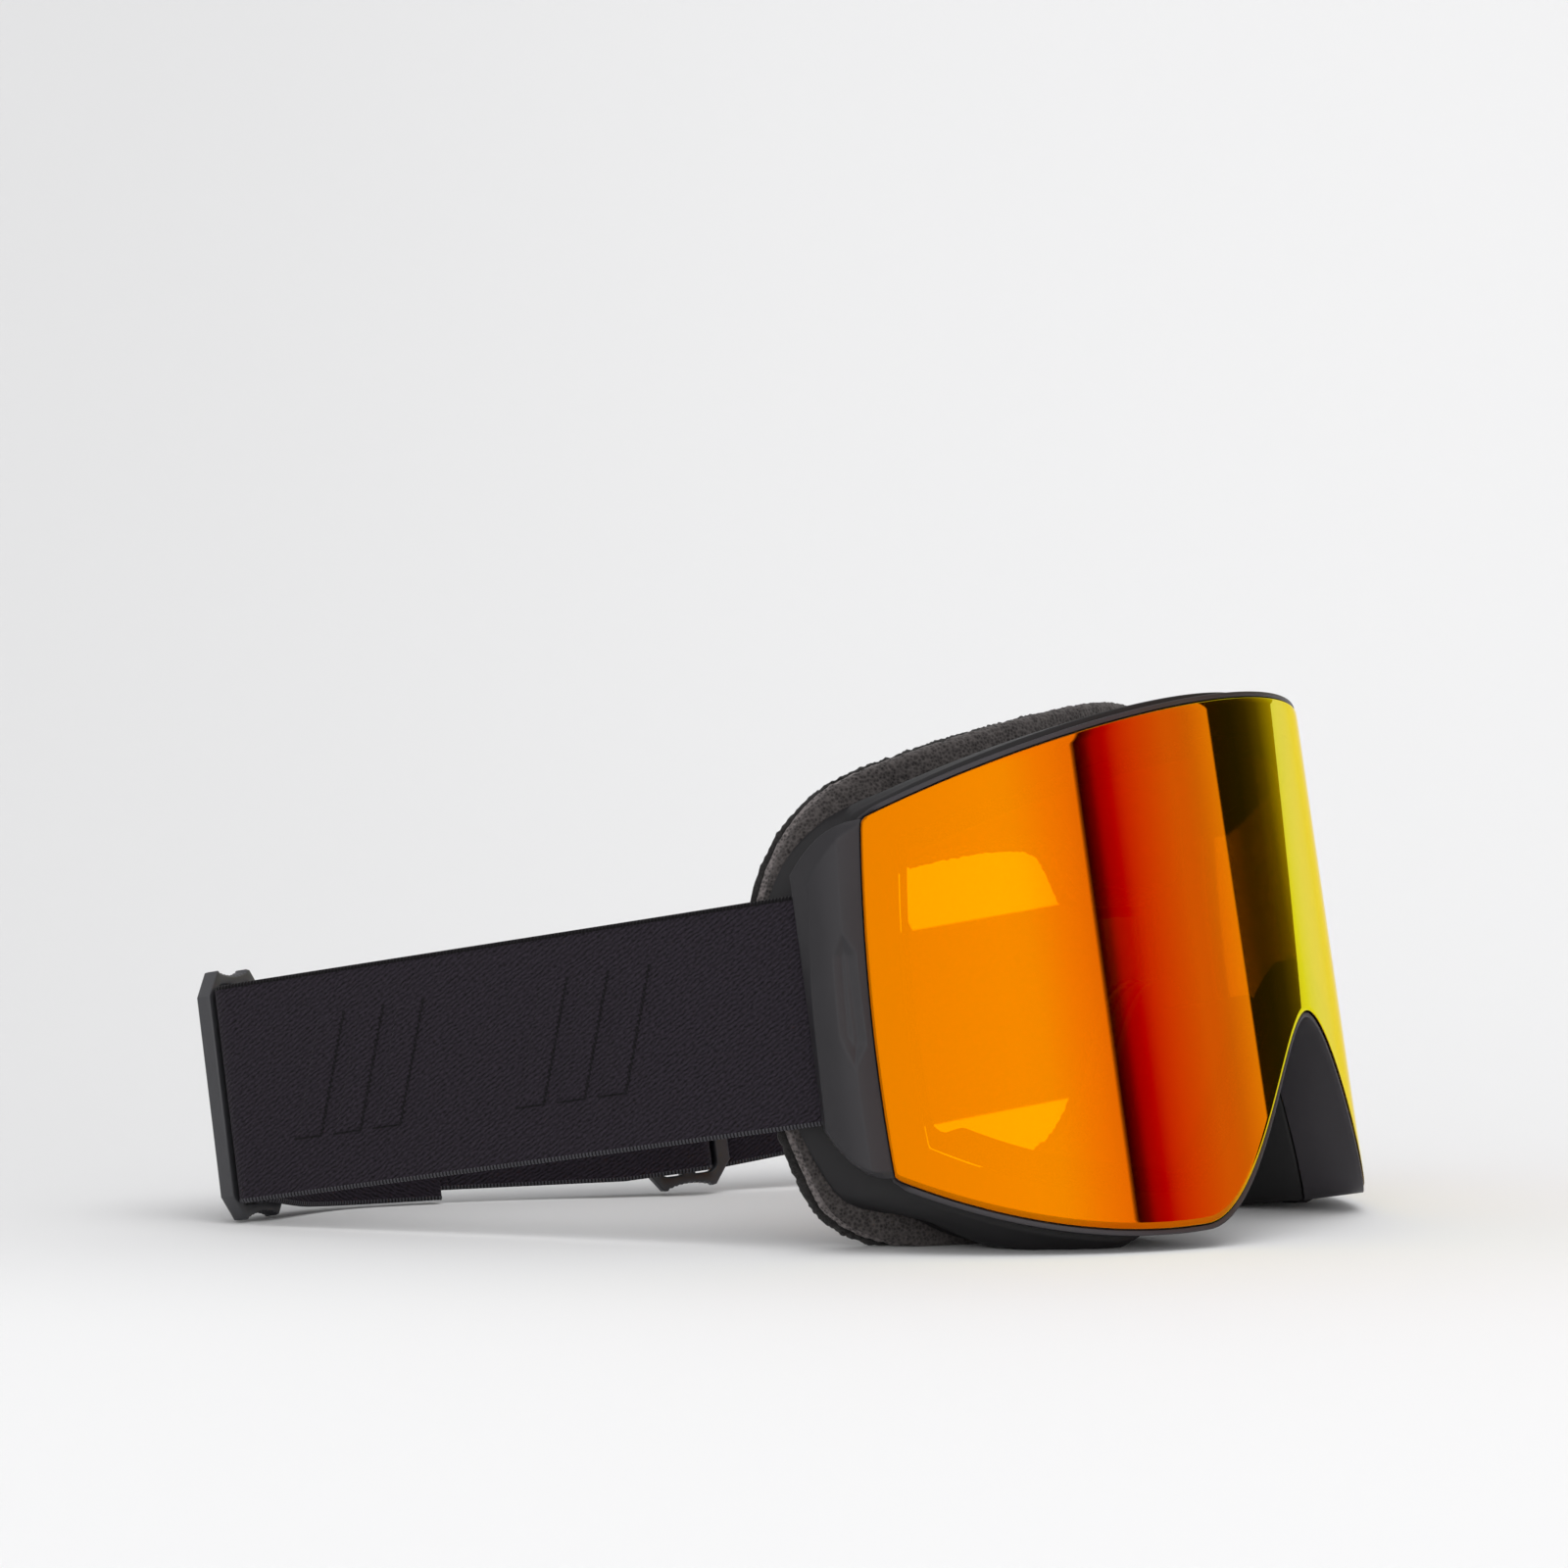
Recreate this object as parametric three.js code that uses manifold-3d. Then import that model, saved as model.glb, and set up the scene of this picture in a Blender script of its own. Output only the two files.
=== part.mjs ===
// Ski goggles with a removable cylindrical lens, a padded face frame and a strap adjusted by two tri-glide sliders.
// Millimetres. The goggles face -Y, +X is the wearer's left, +Z is up. The goggles are drawn upright with the
// front of the lens at the origin, then lean back by LEAN, as they lie on their cheeks and sliders on a table.
import * as THREE from "three";
import { mergeVertices } from "three/addons/utils/BufferGeometryUtils.js";
import Module from "manifold-3d";

const manifold = await Module();
manifold.setup();

// Driving dimensions.
const LEAN = THREE.MathUtils.degToRad(8.85);
const GAP = 0.3;
const LENS_RADIUS = 88;
const LENS_THICKNESS = 1.8;
const INNER_LENS_DEPTH = 5.4;
const INNER_LENS_THICKNESS = 1.0;
const LENS_BORDER = 8;
const FOAM_WIDTH = 13;
const STRAP_WIDTH = 45;
const STRAP_THICKNESS = 1.5;
const SLIDER_LENGTH = 20;
const SLIDER_HEIGHT = 52;
const SLIDER_THICKNESS = 3.3;

// The face surface: a bowl across the wearer's face, measured back from the front of the lens.
const FACE_DEPTH = 40;
const FACE_BOW = 0.006;
// The table seen from the upright goggles: a plane that climbs towards the back.
const TABLE_AT_FRONT = -57.9;
const TABLE_SLOPE = Math.tan(LEAN);

// Steps along each stretch of the half outlines, from the top centre round to the nose.
const STEPS = { top: 12, side: 7, cheek: 11, nose: 8 };
const HALF_STEPS = STEPS.top + STEPS.side + STEPS.cheek + STEPS.nose;
const LOOP_STEPS = 2 * HALF_STEPS;
const CHEEK_START = STEPS.top + STEPS.side;
const NOSE_START = CHEEK_START + STEPS.cheek;

const finish = (color, roughness, metalness = 0, opacity = 1) =>
  new THREE.MeshStandardMaterial({ color, roughness, metalness, opacity, transparent: opacity < 1 });
const materials = {
  mirrorLens: finish(0xf26a10, 0.06, 0.6, 0.9),
  clearLens: finish(0xd9a46a, 0.08, 0, 0.4),
  rigidPlastic: finish(0x2c2b2e, 0.45),
  cover: finish(0x3a393d, 0.5),
  softFrame: finish(0x242326, 0.6),
  gasket: finish(0x202022, 0.9),
  foam: finish(0x2b2b2c, 0.95),
  fleece: finish(0x4a4a4b, 1),
  rubber: finish(0x222123, 0.65),
  webbing: finish(0x201e26, 0.9),
  magnet: finish(0x9b9da1, 0.3, 0.9),
  steel: finish(0x8d8f93, 0.35, 0.9),
  slider: finish(0x3d3e42, 0.4),
};

const goggles = new THREE.Group();
goggles.rotation.x = -LEAN;

function addPart(name, geometry, material, parent = goggles) {
  const mesh = new THREE.Mesh(geometry, material);
  mesh.name = name;
  parent.add(mesh);
  return mesh;
}

// ---- solids from sections, and booleans ----

function flipFaces(index) {
  for (let i = 0; i < index.length; i += 3) [index[i + 1], index[i + 2]] = [index[i + 2], index[i + 1]];
}

function signedVolume(points, index) {
  let volume = 0;
  for (let i = 0; i < index.length; i += 3) {
    const [a, b, c] = [points[index[i]], points[index[i + 1]], points[index[i + 2]]];
    volume += a.dot(new THREE.Vector3().crossVectors(b, c)) / 6;
  }
  return volume;
}

// Joins equal-sized closed sections into one solid: a closed ring, or an open run with an end face at each end.
// Point j of an end section faces point size - 1 - j across the piece, as the rungs of a ladder do.
function loft(sections, isRing) {
  const size = sections[0].length;
  const points = sections.flat();
  const index = [];
  const spans = isRing ? sections.length : sections.length - 1;
  for (let i = 0; i < spans; i++) {
    const next = (i + 1) % sections.length;
    for (let j = 0; j < size; j++) {
      const k = (j + 1) % size;
      const corners = [i * size + j, i * size + k, next * size + k, next * size + j];
      index.push(corners[0], corners[1], corners[2], corners[0], corners[2], corners[3]);
    }
  }
  if (!isRing) {
    const last = (sections.length - 1) * size;
    for (let j = 0; j < size / 2 - 1; j++) {
      const rungs = [j, j + 1, size - 2 - j, size - 1 - j];
      const [a, b, c, d] = rungs;
      index.push(a, c, b, a, d, c);
      index.push(last + a, last + b, last + c, last + a, last + c, last + d);
    }
  }
  if (signedVolume(points, index) < 0) flipFaces(index);
  return new THREE.BufferGeometry().setFromPoints(points).setIndex(index);
}

function toSolid(geometry) {
  const positions = new THREE.BufferGeometry().setAttribute("position", geometry.getAttribute("position"));
  positions.setIndex(geometry.index);
  const merged = mergeVertices(positions, 1e-3);
  return new manifold.Manifold(
    new manifold.Mesh({
      numProp: 3,
      vertProperties: new Float32Array(merged.getAttribute("position").array),
      triVerts: new Uint32Array(merged.index.array),
    }),
  );
}

function toGeometry(solid) {
  const mesh = solid.getMesh();
  const positions = new THREE.BufferAttribute(new Float32Array(mesh.vertProperties), 3);
  return new THREE.BufferGeometry()
    .setAttribute("position", positions)
    .setIndex(new THREE.BufferAttribute(new Uint32Array(mesh.triVerts), 1));
}

const cutAway = (geometry, tools) =>
  toGeometry(tools.reduce((solid, tool) => solid.subtract(toSolid(tool)), toSolid(geometry)));
const joinOn = (geometry, additions) =>
  toGeometry(additions.reduce((solid, addition) => solid.add(toSolid(addition)), toSolid(geometry)));

// ---- outlines ----

const pair = (a, b) => new THREE.Vector2(a, b);
const cubic = (...ends) => new THREE.CubicBezierCurve(...ends.map(([a, b]) => pair(a, b)));
const quadratic = (...ends) => new THREE.QuadraticBezierCurve(...ends.map(([a, b]) => pair(a, b)));

// An arch of a parabola between two places along the outline.
function parabola(fromS, toS, height) {
  const curve = new THREE.Curve();
  curve.getPoint = (t) => {
    const s = THREE.MathUtils.lerp(fromS, toS, t);
    return pair(s, height(s));
  };
  return curve;
}

// Walks the four stretches of a half outline, then mirrors them into one closed loop.
function closedLoop({ top, side, cheek, nose }) {
  const half = [];
  for (const [curve, steps] of [[top, STEPS.top], [side, STEPS.side], [cheek, STEPS.cheek], [nose, STEPS.nose]])
    for (let i = 0; i < steps; i++) half.push(curve.getPoint(i / steps));
  half.push(nose.getPoint(1));
  const mirrored = half.slice(1, -1).reverse().map((p) => pair(-p.x, p.y));
  return [...half, ...mirrored];
}

// Lens outlines lie on the unrolled cylinder: distance round it, then height.
const lensTop = (s) => 52 - (s * s) / 614;
const lensBottom = (s) => -51.3 + (s - 43) ** 2 / 223;
const lensLoop = closedLoop({
  top: parabola(0, 101.8, lensTop),
  side: quadratic([101.8, lensTop(101.8)], [106.2, -1], [104.4, lensBottom(104.4)]),
  cheek: parabola(104.4, 42, lensBottom),
  nose: cubic([42, lensBottom(42)], [27, -51.2], [12, -12.7], [0, -12.7]),
});
const innerTop = (s) => 44 - (s * s) / 614;
const innerBottom = (s) => -43.3 + (s - 44.5) ** 2 / 185;
const innerLoop = closedLoop({
  top: parabola(0, 94, innerTop),
  side: quadratic([94, innerTop(94)], [98.5, 0], [96.3, innerBottom(96.3)]),
  cheek: parabola(96.3, 44.5, innerBottom),
  nose: cubic([44.5, -43.3], [32, -42], [17, -4.6], [0, -4.6]),
});
// Foam outlines are seen from the front: distance from the middle, then height. The brow foam dips at the middle.
const foamOuterLoop = closedLoop({
  top: cubic([0, 57.8], [21.5, 57.7], [59, 48.6], [66.5, 43.2]),
  side: cubic([66.5, 43.2], [87, 29], [83, -22], [78, -38.8]),
  cheek: cubic([78, -38.8], [72, -50], [58, -47.5], [31, -49.8]),
  nose: cubic([31, -49.8], [21, -44], [13, -10], [0, -10]),
});
const foamInnerLoop = closedLoop({
  top: cubic([0, 12], [44, 10], [-4, 39], [54, 26.5]),
  side: cubic([54, 26.5], [65, 23], [67.5, -16], [63.5, -27.5]),
  cheek: cubic([63.5, -27.5], [58, -35], [48, -37], [37.5, -33.5]),
  nose: cubic([37.5, -33.5], [20, -28.5], [22, -1], [0, -1]),
});

const loopIndex = (i) => ((i % LOOP_STEPS) + LOOP_STEPS) % LOOP_STEPS;

function onCylinder(s, z, depth) {
  const angle = s / LENS_RADIUS;
  const radius = LENS_RADIUS - depth;
  return new THREE.Vector3(radius * Math.sin(angle), LENS_RADIUS - radius * Math.cos(angle), z);
}

function aboveTable(point) {
  point.z = Math.max(point.z, TABLE_AT_FRONT + TABLE_SLOPE * point.y);
  return point;
}

// A place on the lens border: inset in from the lens edge, depth in behind the front of the lens.
function atLens(i, inset, depth) {
  const p = lensLoop[loopIndex(i)].clone().lerp(innerLoop[loopIndex(i)], inset / LENS_BORDER);
  return aboveTable(onCylinder(p.x, p.y, depth));
}

// A place on the foam: inset in from its outer edge, lift forward of the face.
function atFace(i, inset, lift) {
  const p = foamOuterLoop[loopIndex(i)].clone().lerp(foamInnerLoop[loopIndex(i)], inset / FOAM_WIDTH);
  return aboveTable(new THREE.Vector3(p.x, FACE_DEPTH + FACE_BOW * p.x * p.x - lift, p.y));
}

// Places between the edges of the foam, so that wide flat faces follow the bow of the face.
const acrossFace = (i, lift) => [5, 8.5].map((inset) => atFace(i, inset, lift));

const ring = (section) => loft(Array.from({ length: LOOP_STEPS }, (_, i) => section(i)), true);
const run = (first, last, section) =>
  loft(Array.from({ length: last - first + 1 }, (_, i) => section(first + i)), false);
const stepsFromTop = (i) => Math.min(loopIndex(i), LOOP_STEPS - loopIndex(i));

// 1 along the nose arch, 0 elsewhere, with a short ramp at its feet.
const RAMP_STEPS = 3;
const noseShare = (i) => THREE.MathUtils.clamp((stepsFromTop(i) - NOSE_START + RAMP_STEPS) / RAMP_STEPS, 0, 1);
// 1 at the inner end of the cheek, falling to 0 at the lower corner and at the nose.
const cheekShare = (i) => {
  const along = (stepsFromTop(i) - CHEEK_START) / STEPS.cheek;
  return along > 0 && along < 1 ? Math.sin(Math.PI * along ** 2) : 0;
};
// 1 beside the covers, 0 elsewhere.
const sideShare = (i) => (stepsFromTop(i) >= STEPS.top && stepsFromTop(i) <= CHEEK_START ? 1 : 0);
const mix = THREE.MathUtils.lerp;

// ---- lens assembly ----

// A lens pane is a row of columns: each foot of the lower edge has a matching place on the top edge.
function lensPane(loop, depth, thickness) {
  const topCorner = loop[STEPS.top];
  const sideMiddle = loop[STEPS.top + Math.round(STEPS.side / 2)];
  const lowCorner = loop[CHEEK_START];
  const topHeight = loop === lensLoop ? lensTop : innerTop;
  return run(CHEEK_START, LOOP_STEPS - CHEEK_START, (i) => {
    const foot = loop[i];
    const topS = foot.x * (topCorner.x / lowCorner.x);
    const middleS = foot.x * (sideMiddle.x / lowCorner.x);
    const rows = [[topS, topHeight(topS)], [middleS, sideMiddle.y], [foot.x, foot.y]];
    const front = rows.map(([s, z]) => onCylinder(s, z, depth));
    const back = rows.map(([s, z]) => onCylinder(s, z, depth + thickness));
    return [...front, ...back.reverse()];
  });
}

const MAGNET_RADIUS = 2;
const MAGNET_THICKNESS = 0.8;
const POCKET_RADIUS = 3.2;
const SEAT_DEPTH = LENS_THICKNESS + GAP;
const SEAT_INNER = 7;
const MAGNET_INSET = 3.4;
const MAGNET_STEPS = [3, 7, CHEEK_START + 6].flatMap((step) => [step, LOOP_STEPS - step]);

// A disc set square to the lens, between two depths behind the front of the lens.
function disc(step, radius, fromDepth, toDepth) {
  const geometry = new THREE.CylinderGeometry(radius, radius, toDepth - fromDepth, 16);
  const front = atLens(step, MAGNET_INSET, fromDepth);
  const back = atLens(step, MAGNET_INSET, toDepth);
  const turn = new THREE.Quaternion().setFromUnitVectors(
    new THREE.Vector3(0, 1, 0),
    back.clone().sub(front).normalize(),
  );
  geometry.applyQuaternion(turn);
  const middle = front.add(back).multiplyScalar(0.5);
  return geometry.translate(middle.x, middle.y, middle.z);
}

// The gasket is wider along the cheeks.
const gasketInner = (i) => (stepsFromTop(i) >= CHEEK_START && stepsFromTop(i) < NOSE_START ? 12.8 : 10.6);

function addLens() {
  addPart("outer_lens", lensPane(lensLoop, 0, LENS_THICKNESS), materials.mirrorLens);
  addPart("inner_lens", lensPane(innerLoop, INNER_LENS_DEPTH, INNER_LENS_THICKNESS), materials.clearLens);
  const gasketOuter = SEAT_INNER + GAP;
  const gasketBack = INNER_LENS_DEPTH - GAP;
  const gasket = ring((i) => [
    atLens(i, gasketOuter, SEAT_DEPTH),
    atLens(i, gasketInner(i), SEAT_DEPTH),
    atLens(i, gasketInner(i), gasketBack),
    atLens(i, gasketOuter, gasketBack),
  ]);
  addPart("lens_gasket", gasket, materials.gasket);
  MAGNET_STEPS.forEach((step, n) => {
    const magnet = disc(step, MAGNET_RADIUS, SEAT_DEPTH, SEAT_DEPTH + MAGNET_THICKNESS);
    addPart("lens_magnet_" + (n + 1), magnet, materials.magnet);
  });
}

// ---- front frame: the rigid seat that the lens drops into ----

// The lip stands outside the lens edge, and is thinner beside the side covers.
const lipOut = (i) => mix(-1.2, -0.8, sideShare(i));

const LIP_IN = -0.35;
// The lip's front stands beside the lens, and drops behind it where the side covers meet the lens.
const lipFront = (i) => mix(0.6, 1.9, sideShare(i));
const SEAT_BACK = 6.3;
const WALL_IN = 0.6;

function addFrontFrame() {
  const seat = ring((i) => {
    const back = mix(SEAT_BACK + 0.7, 13, noseShare(i));
    return [
      atLens(i, lipOut(i), lipFront(i)),
      atLens(i, LIP_IN, lipFront(i)),
      atLens(i, LIP_IN, SEAT_DEPTH),
      atLens(i, SEAT_INNER, SEAT_DEPTH),
      atLens(i, SEAT_INNER, SEAT_BACK),
      atLens(i, WALL_IN, SEAT_BACK),
      atLens(i, WALL_IN, back),
      atLens(i, lipOut(i), back),
    ];
  });
  const pockets = MAGNET_STEPS.map((step) => disc(step, POCKET_RADIUS, SEAT_DEPTH - 1, 4.9));
  addPart("front_frame", cutAway(seat, pockets), materials.rigidPlastic);
  MAGNET_STEPS.forEach((step, n) => {
    const front = SEAT_DEPTH + MAGNET_THICKNESS + GAP;
    const magnet = disc(step, MAGNET_RADIUS, front, front + MAGNET_THICKNESS);
    addPart("frame_magnet_" + (n + 1), magnet, materials.magnet);
  });
}

// ---- face frame: the soft wall between the lens seat and the foam ----

const FLANGE_LIFT = 7.3;
const FLANGE_THICKNESS = 1.8;
const wallFront = (i) => mix(SEAT_BACK + 1, 13.3, noseShare(i));
const wallOuter = (i) => mix(-2.4, 1.4, noseShare(i));
const wallThickness = 3.4;
// How far the flange sits inside the foam's outer edge, at steps from the top. It steps in to clear the strap.
const FLANGE_INSETS = [[0, 1.7], [11, 2], [13, 0.4], [14, 0.9], [15, 2.5], [17, 2.5], [19, 3.4], [22, 4.4], [26, 0.3]];

function flangeInset(i) {
  const step = stepsFromTop(i);
  const next = FLANGE_INSETS.findIndex(([at]) => at > step);
  if (next < 0) return FLANGE_INSETS.at(-1)[1];
  const [fromStep, from] = FLANGE_INSETS[next - 1];
  const [toStep, to] = FLANGE_INSETS[next];
  return mix(from, to, (step - fromStep) / (toStep - fromStep));
}

// Along the wall from the lens seat (0) to the foam flange (1), outset out of the plain wall.
function atWall(i, along, outset, inner) {
  const lensInset = wallOuter(i) + (inner ? wallThickness : 0) - outset;
  const faceInset = flangeInset(i) + (inner ? 2.5 : 0) - outset;
  const faceLift = FLANGE_LIFT + FLANGE_THICKNESS;
  const front = atLens(i, lensInset, wallFront(i));
  return aboveTable(front.lerp(atFace(i, faceInset, faceLift), along));
}

const wallBulge = (i) => mix(mix(0.9, 3.4, cheekShare(i)), 0, noseShare(i));

function ventSlots() {
  const slots = [];
  const slotFor = (step, along, width, length) => {
    const middle = atWall(step, along, 0, false);
    const across = atWall(step + 1, along, 0, false).sub(atWall(step - 1, along, 0, false));
    const slot = new THREE.BoxGeometry(width, length, 12);
    slot.rotateY(-Math.atan2(across.z, across.x));
    return slot.translate(middle.x, middle.y, middle.z);
  };
  for (const step of [CHEEK_START + 9, LOOP_STEPS - CHEEK_START - 9]) slots.push(slotFor(step, 0.45, 7, 3));
  return slots;
}

function addFaceFrame() {
  const wall = ring((i) => [
    atWall(i, 0, 0, false),
    atWall(i, 0.3, wallBulge(i), false),
    atFace(i, flangeInset(i), FLANGE_LIFT + FLANGE_THICKNESS),
    atFace(i, flangeInset(i), FLANGE_LIFT),
    ...acrossFace(i, FLANGE_LIFT),
    atFace(i, 11.5, FLANGE_LIFT),
    atFace(i, 11.5, FLANGE_LIFT + FLANGE_THICKNESS),
    atWall(i, 1, 0, true),
    atWall(i, 0, 0, true),
  ]);
  addPart("face_frame", cutAway(wall, ventSlots()), materials.softFrame);
}

// Thin filter foam that lines the vents from inside.
function ventFoam(first, last) {
  return run(first, last, (i) => [
    atWall(i, 0.15, -0.5, true),
    atWall(i, 0.8, -0.5, true),
    atWall(i, 0.8, -2, true),
    atWall(i, 0.15, -2, true),
  ]);
}

function addVentFoam() {
  const firstStep = CHEEK_START + 7;
  const lastStep = CHEEK_START + 10;
  addPart("vent_foam_bottom_left", ventFoam(firstStep, lastStep), materials.foam);
  addPart("vent_foam_bottom_right", ventFoam(LOOP_STEPS - lastStep, LOOP_STEPS - firstStep), materials.foam);
}

// ---- face padding: three bonded layers and a nose flap ----

function foamLayer(frontLift, backLift, frontWidth, backWidth) {
  return ring((i) => [
    atFace(i, 0.2, frontLift),
    atFace(i, -0.1, (frontLift + backLift) / 2),
    atFace(i, 0.2, backLift),
    ...acrossFace(i, backLift),
    atFace(i, backWidth, backLift),
    atFace(i, (frontWidth + backWidth) / 2 + 0.2, (frontLift + backLift) / 2),
    atFace(i, frontWidth, frontLift),
    ...acrossFace(i, frontLift).reverse(),
  ]);
}

function addPadding() {
  addPart("foam_base_layer", foamLayer(6.9, 4, 11.6, 12), materials.foam);
  addPart("foam_soft_layer", foamLayer(3.6, 1.5, 12.1, 12.6), materials.foam);
  addPart("face_fleece", foamLayer(1.05, 0, 12.7, 13), materials.fleece);
}

function addNoseFlap() {
  const stations = [0, 0.35, 0.7, 1];
  const thickness = 1.1;
  const place = (i, along, inner) => {
    const shift = inner ? thickness : 0;
    const front = atLens(i, lipOut(i) + shift, 13.3);
    const back = atFace(i, -1.7 + shift, 6);
    return aboveTable(front.lerp(back, along));
  };
  const flap = run(NOSE_START, LOOP_STEPS - NOSE_START, (i) => [
    ...stations.map((along) => place(i, along, false)),
    ...stations.toReversed().map((along) => place(i, along, true)),
  ]);
  addPart("nose_flap", flap, materials.rubber);
}

// ---- side covers and the bars that the strap loops round ----

const BAR_RADIUS = 1;
const BAR_X = 80.9;
const BAR_Y = 62.1;
const BAR_LENGTH = 52;
const LUG_INSIDE = STRAP_WIDTH / 2 + 1.7;
const COVER_THICKNESS = 0.9;
const COVER_BULGE = 1.3;
const COVER_REAR = { x: 85.8, y: 66.9, top: 26.3, bottom: -23.2 };
const COVER_SHARES = [0, 0.3, 0.6, 0.85, 1];

// The cover runs back from the lens edge to the strap. Its upper and lower edges arch in towards the strap.
function coverShell(side) {
  const rows = [];
  for (let i = STEPS.top; i <= CHEEK_START; i++) {
    const front = atLens(i, -GAP, 0);
    const down = (i - STEPS.top) / STEPS.side;
    const rear = new THREE.Vector3(COVER_REAR.x, COVER_REAR.y, mix(COVER_REAR.top, COVER_REAR.bottom, down));
    const out = new THREE.Vector3(rear.y - front.y, front.x - rear.x, 0).normalize();
    const outer = COVER_SHARES.map((share) => {
      const p = front.clone().lerp(rear, share).addScaledVector(out, COVER_BULGE * Math.sin(Math.PI * share));
      p.z = mix(front.z, rear.z, share ** 2.2);
      return p;
    });
    const inner = outer.map((p) => p.clone().addScaledVector(out, -COVER_THICKNESS)).reverse();
    rows.push([...outer, ...inner].map((p) => p.setX(side * p.x)));
  }
  return loft(rows, false);
}

function addSideCover(side, label) {
  const lugThickness = 1.9;
  const lugs = [1, -1].map((end) => {
    const lug = new THREE.BoxGeometry(5, 5, lugThickness);
    return lug.translate(side * (BAR_X + 1.2), BAR_Y, end * (LUG_INSIDE + lugThickness / 2));
  });
  const hole = new THREE.CylinderGeometry(BAR_RADIUS + GAP, BAR_RADIUS + GAP, BAR_LENGTH + 1, 12);
  hole.rotateX(Math.PI / 2).translate(side * BAR_X, BAR_Y, 0);
  addPart("side_cover_" + label, cutAway(joinOn(coverShell(side), lugs), [hole]), materials.cover);
  const bar = new THREE.CylinderGeometry(BAR_RADIUS, BAR_RADIUS, BAR_LENGTH, 12);
  bar.rotateX(Math.PI / 2).translate(side * BAR_X, BAR_Y, 0);
  addPart("strap_bar_" + label, bar, materials.steel);
}

// ---- strap and sliders ----

// A flat frame seen from above: along the strap, then 90 degrees to its left.
function planFrame(x, y, headingDegrees) {
  const heading = THREE.MathUtils.degToRad(headingDegrees);
  const along = pair(Math.cos(heading), Math.sin(heading));
  const across = pair(-along.y, along.x);
  const place = (u, w) => pair(x, y).addScaledVector(along, u).addScaledVector(across, w);
  return { place, along, heading };
}

const LAYER = STRAP_THICKNESS + GAP;
const UNDER_BAR = SLIDER_THICKNESS / 2 + GAP + STRAP_THICKNESS / 2;
const rightSlider = { ...planFrame(-94.5, 200.2, 5), height: -0.4 };
const leftSlider = { ...planFrame(-6.3, 149.5, 141), height: -7.3 };
const END_BAR = 3.2;
const CENTRE_BAR = 3.2;

// Webbing passed through a slider: under the near end bar, then over the centre bar and the far end bar.
const threadedPath = [
  [-6.4, -UNDER_BAR - 0.05], [-4.9, -1.1], [-4.75, 2], [-3.5, UNDER_BAR + LAYER],
  [3.2, UNDER_BAR + LAYER], [7.4, UNDER_BAR + 0.5],
];
// Webbing folded round the centre bar, from its main run under the far end bar to its sewn tail.
const foldedPath = [
  [4.2, -UNDER_BAR], [2.65, -1.6], [2.65, 1.75], [1.7, UNDER_BAR], [-1.7, UNDER_BAR], [-2.65, 1.75],
  [-2.65, -2.6], [-1.6, -UNDER_BAR - 0.7 * LAYER], [0.5, -UNDER_BAR - LAYER], [6, -UNDER_BAR - LAYER],
];

const onSlider = (slider, path) => path.map(([u, w]) => slider.place(u, w));

// Webbing between two places, with the pull at each end along its own direction.
function freeRun(from, fromPull, to, toPull, steps) {
  return new THREE.CubicBezierCurve(from, from.clone().add(fromPull), to.clone().add(toPull), to)
    .getPoints(steps);
}

// The same path, moved to its left by an offset for each point.
function beside(path, offsetAt) {
  return path.map((p, i) => {
    const offset = offsetAt(i);
    const before = path[Math.max(i - 1, 0)];
    const after = path[Math.min(i + 1, path.length - 1)];
    const along = after.clone().sub(before).normalize();
    return pair(p.x - along.y * offset, p.y + along.x * offset);
  });
}

// A ribbon standing on edge along a plan path. Its middle is level at heightFrom up to point slopeFrom, then
// slopes to heightTo at point slopeTo.
function webbing(path, heightFrom, heightTo, slopeFrom, slopeTo) {
  const lengths = [0];
  for (let i = 1; i < path.length; i++) lengths.push(lengths[i - 1] + path[i].distanceTo(path[i - 1]));
  const slope = lengths[slopeTo] - lengths[slopeFrom];
  const sections = path.map((p, i) => {
    const before = path[Math.max(i - 1, 0)];
    const after = path[Math.min(i + 1, path.length - 1)];
    const into = (i ? p.clone().sub(before) : after.clone().sub(p)).normalize();
    const out = (i < path.length - 1 ? after.clone().sub(p) : p.clone().sub(before)).normalize();
    const middle = into.clone().add(out).normalize();
    const reach = STRAP_THICKNESS / 2 / Math.max(middle.dot(into), 0.6);
    const left = pair(-middle.y, middle.x).multiplyScalar(reach);
    const share = THREE.MathUtils.clamp((lengths[i] - lengths[slopeFrom]) / slope, 0, 1);
    const height = mix(heightFrom, heightTo, share);
    const [top, bottom] = [height + STRAP_WIDTH / 2, height - STRAP_WIDTH / 2];
    return [
      new THREE.Vector3(p.x + left.x, p.y + left.y, top),
      new THREE.Vector3(p.x + left.x, p.y + left.y, bottom),
      new THREE.Vector3(p.x - left.x, p.y - left.y, bottom),
      new THREE.Vector3(p.x - left.x, p.y - left.y, top),
    ];
  });
  return loft(sections, false);
}

// The sewn loop round a strap bar, from its tail to its main run. The frame points back along the strap.
function barLoop(frame, side) {
  const loopRadius = BAR_RADIUS + GAP + STRAP_THICKNESS / 2;
  const tailOffset = loopRadius - LAYER;
  const tail = [[8, tailOffset], [5, tailOffset], [2.6, -1.2], [1, -loopRadius]];
  const turn = [1, 2, 3, 4, 5].map((n) => {
    const angle = -Math.PI / 2 - (n * Math.PI) / 6;
    return [loopRadius * Math.cos(angle), loopRadius * Math.sin(angle)];
  });
  const back = [[1.2, loopRadius], [8, loopRadius]];
  return [...tail, ...turn, ...back].map(([u, w]) => frame.place(u, side * w));
}

const rightBarFrame = planFrame(-BAR_X, BAR_Y, 96);
const leftBarFrame = planFrame(BAR_X, BAR_Y, 82);

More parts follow.
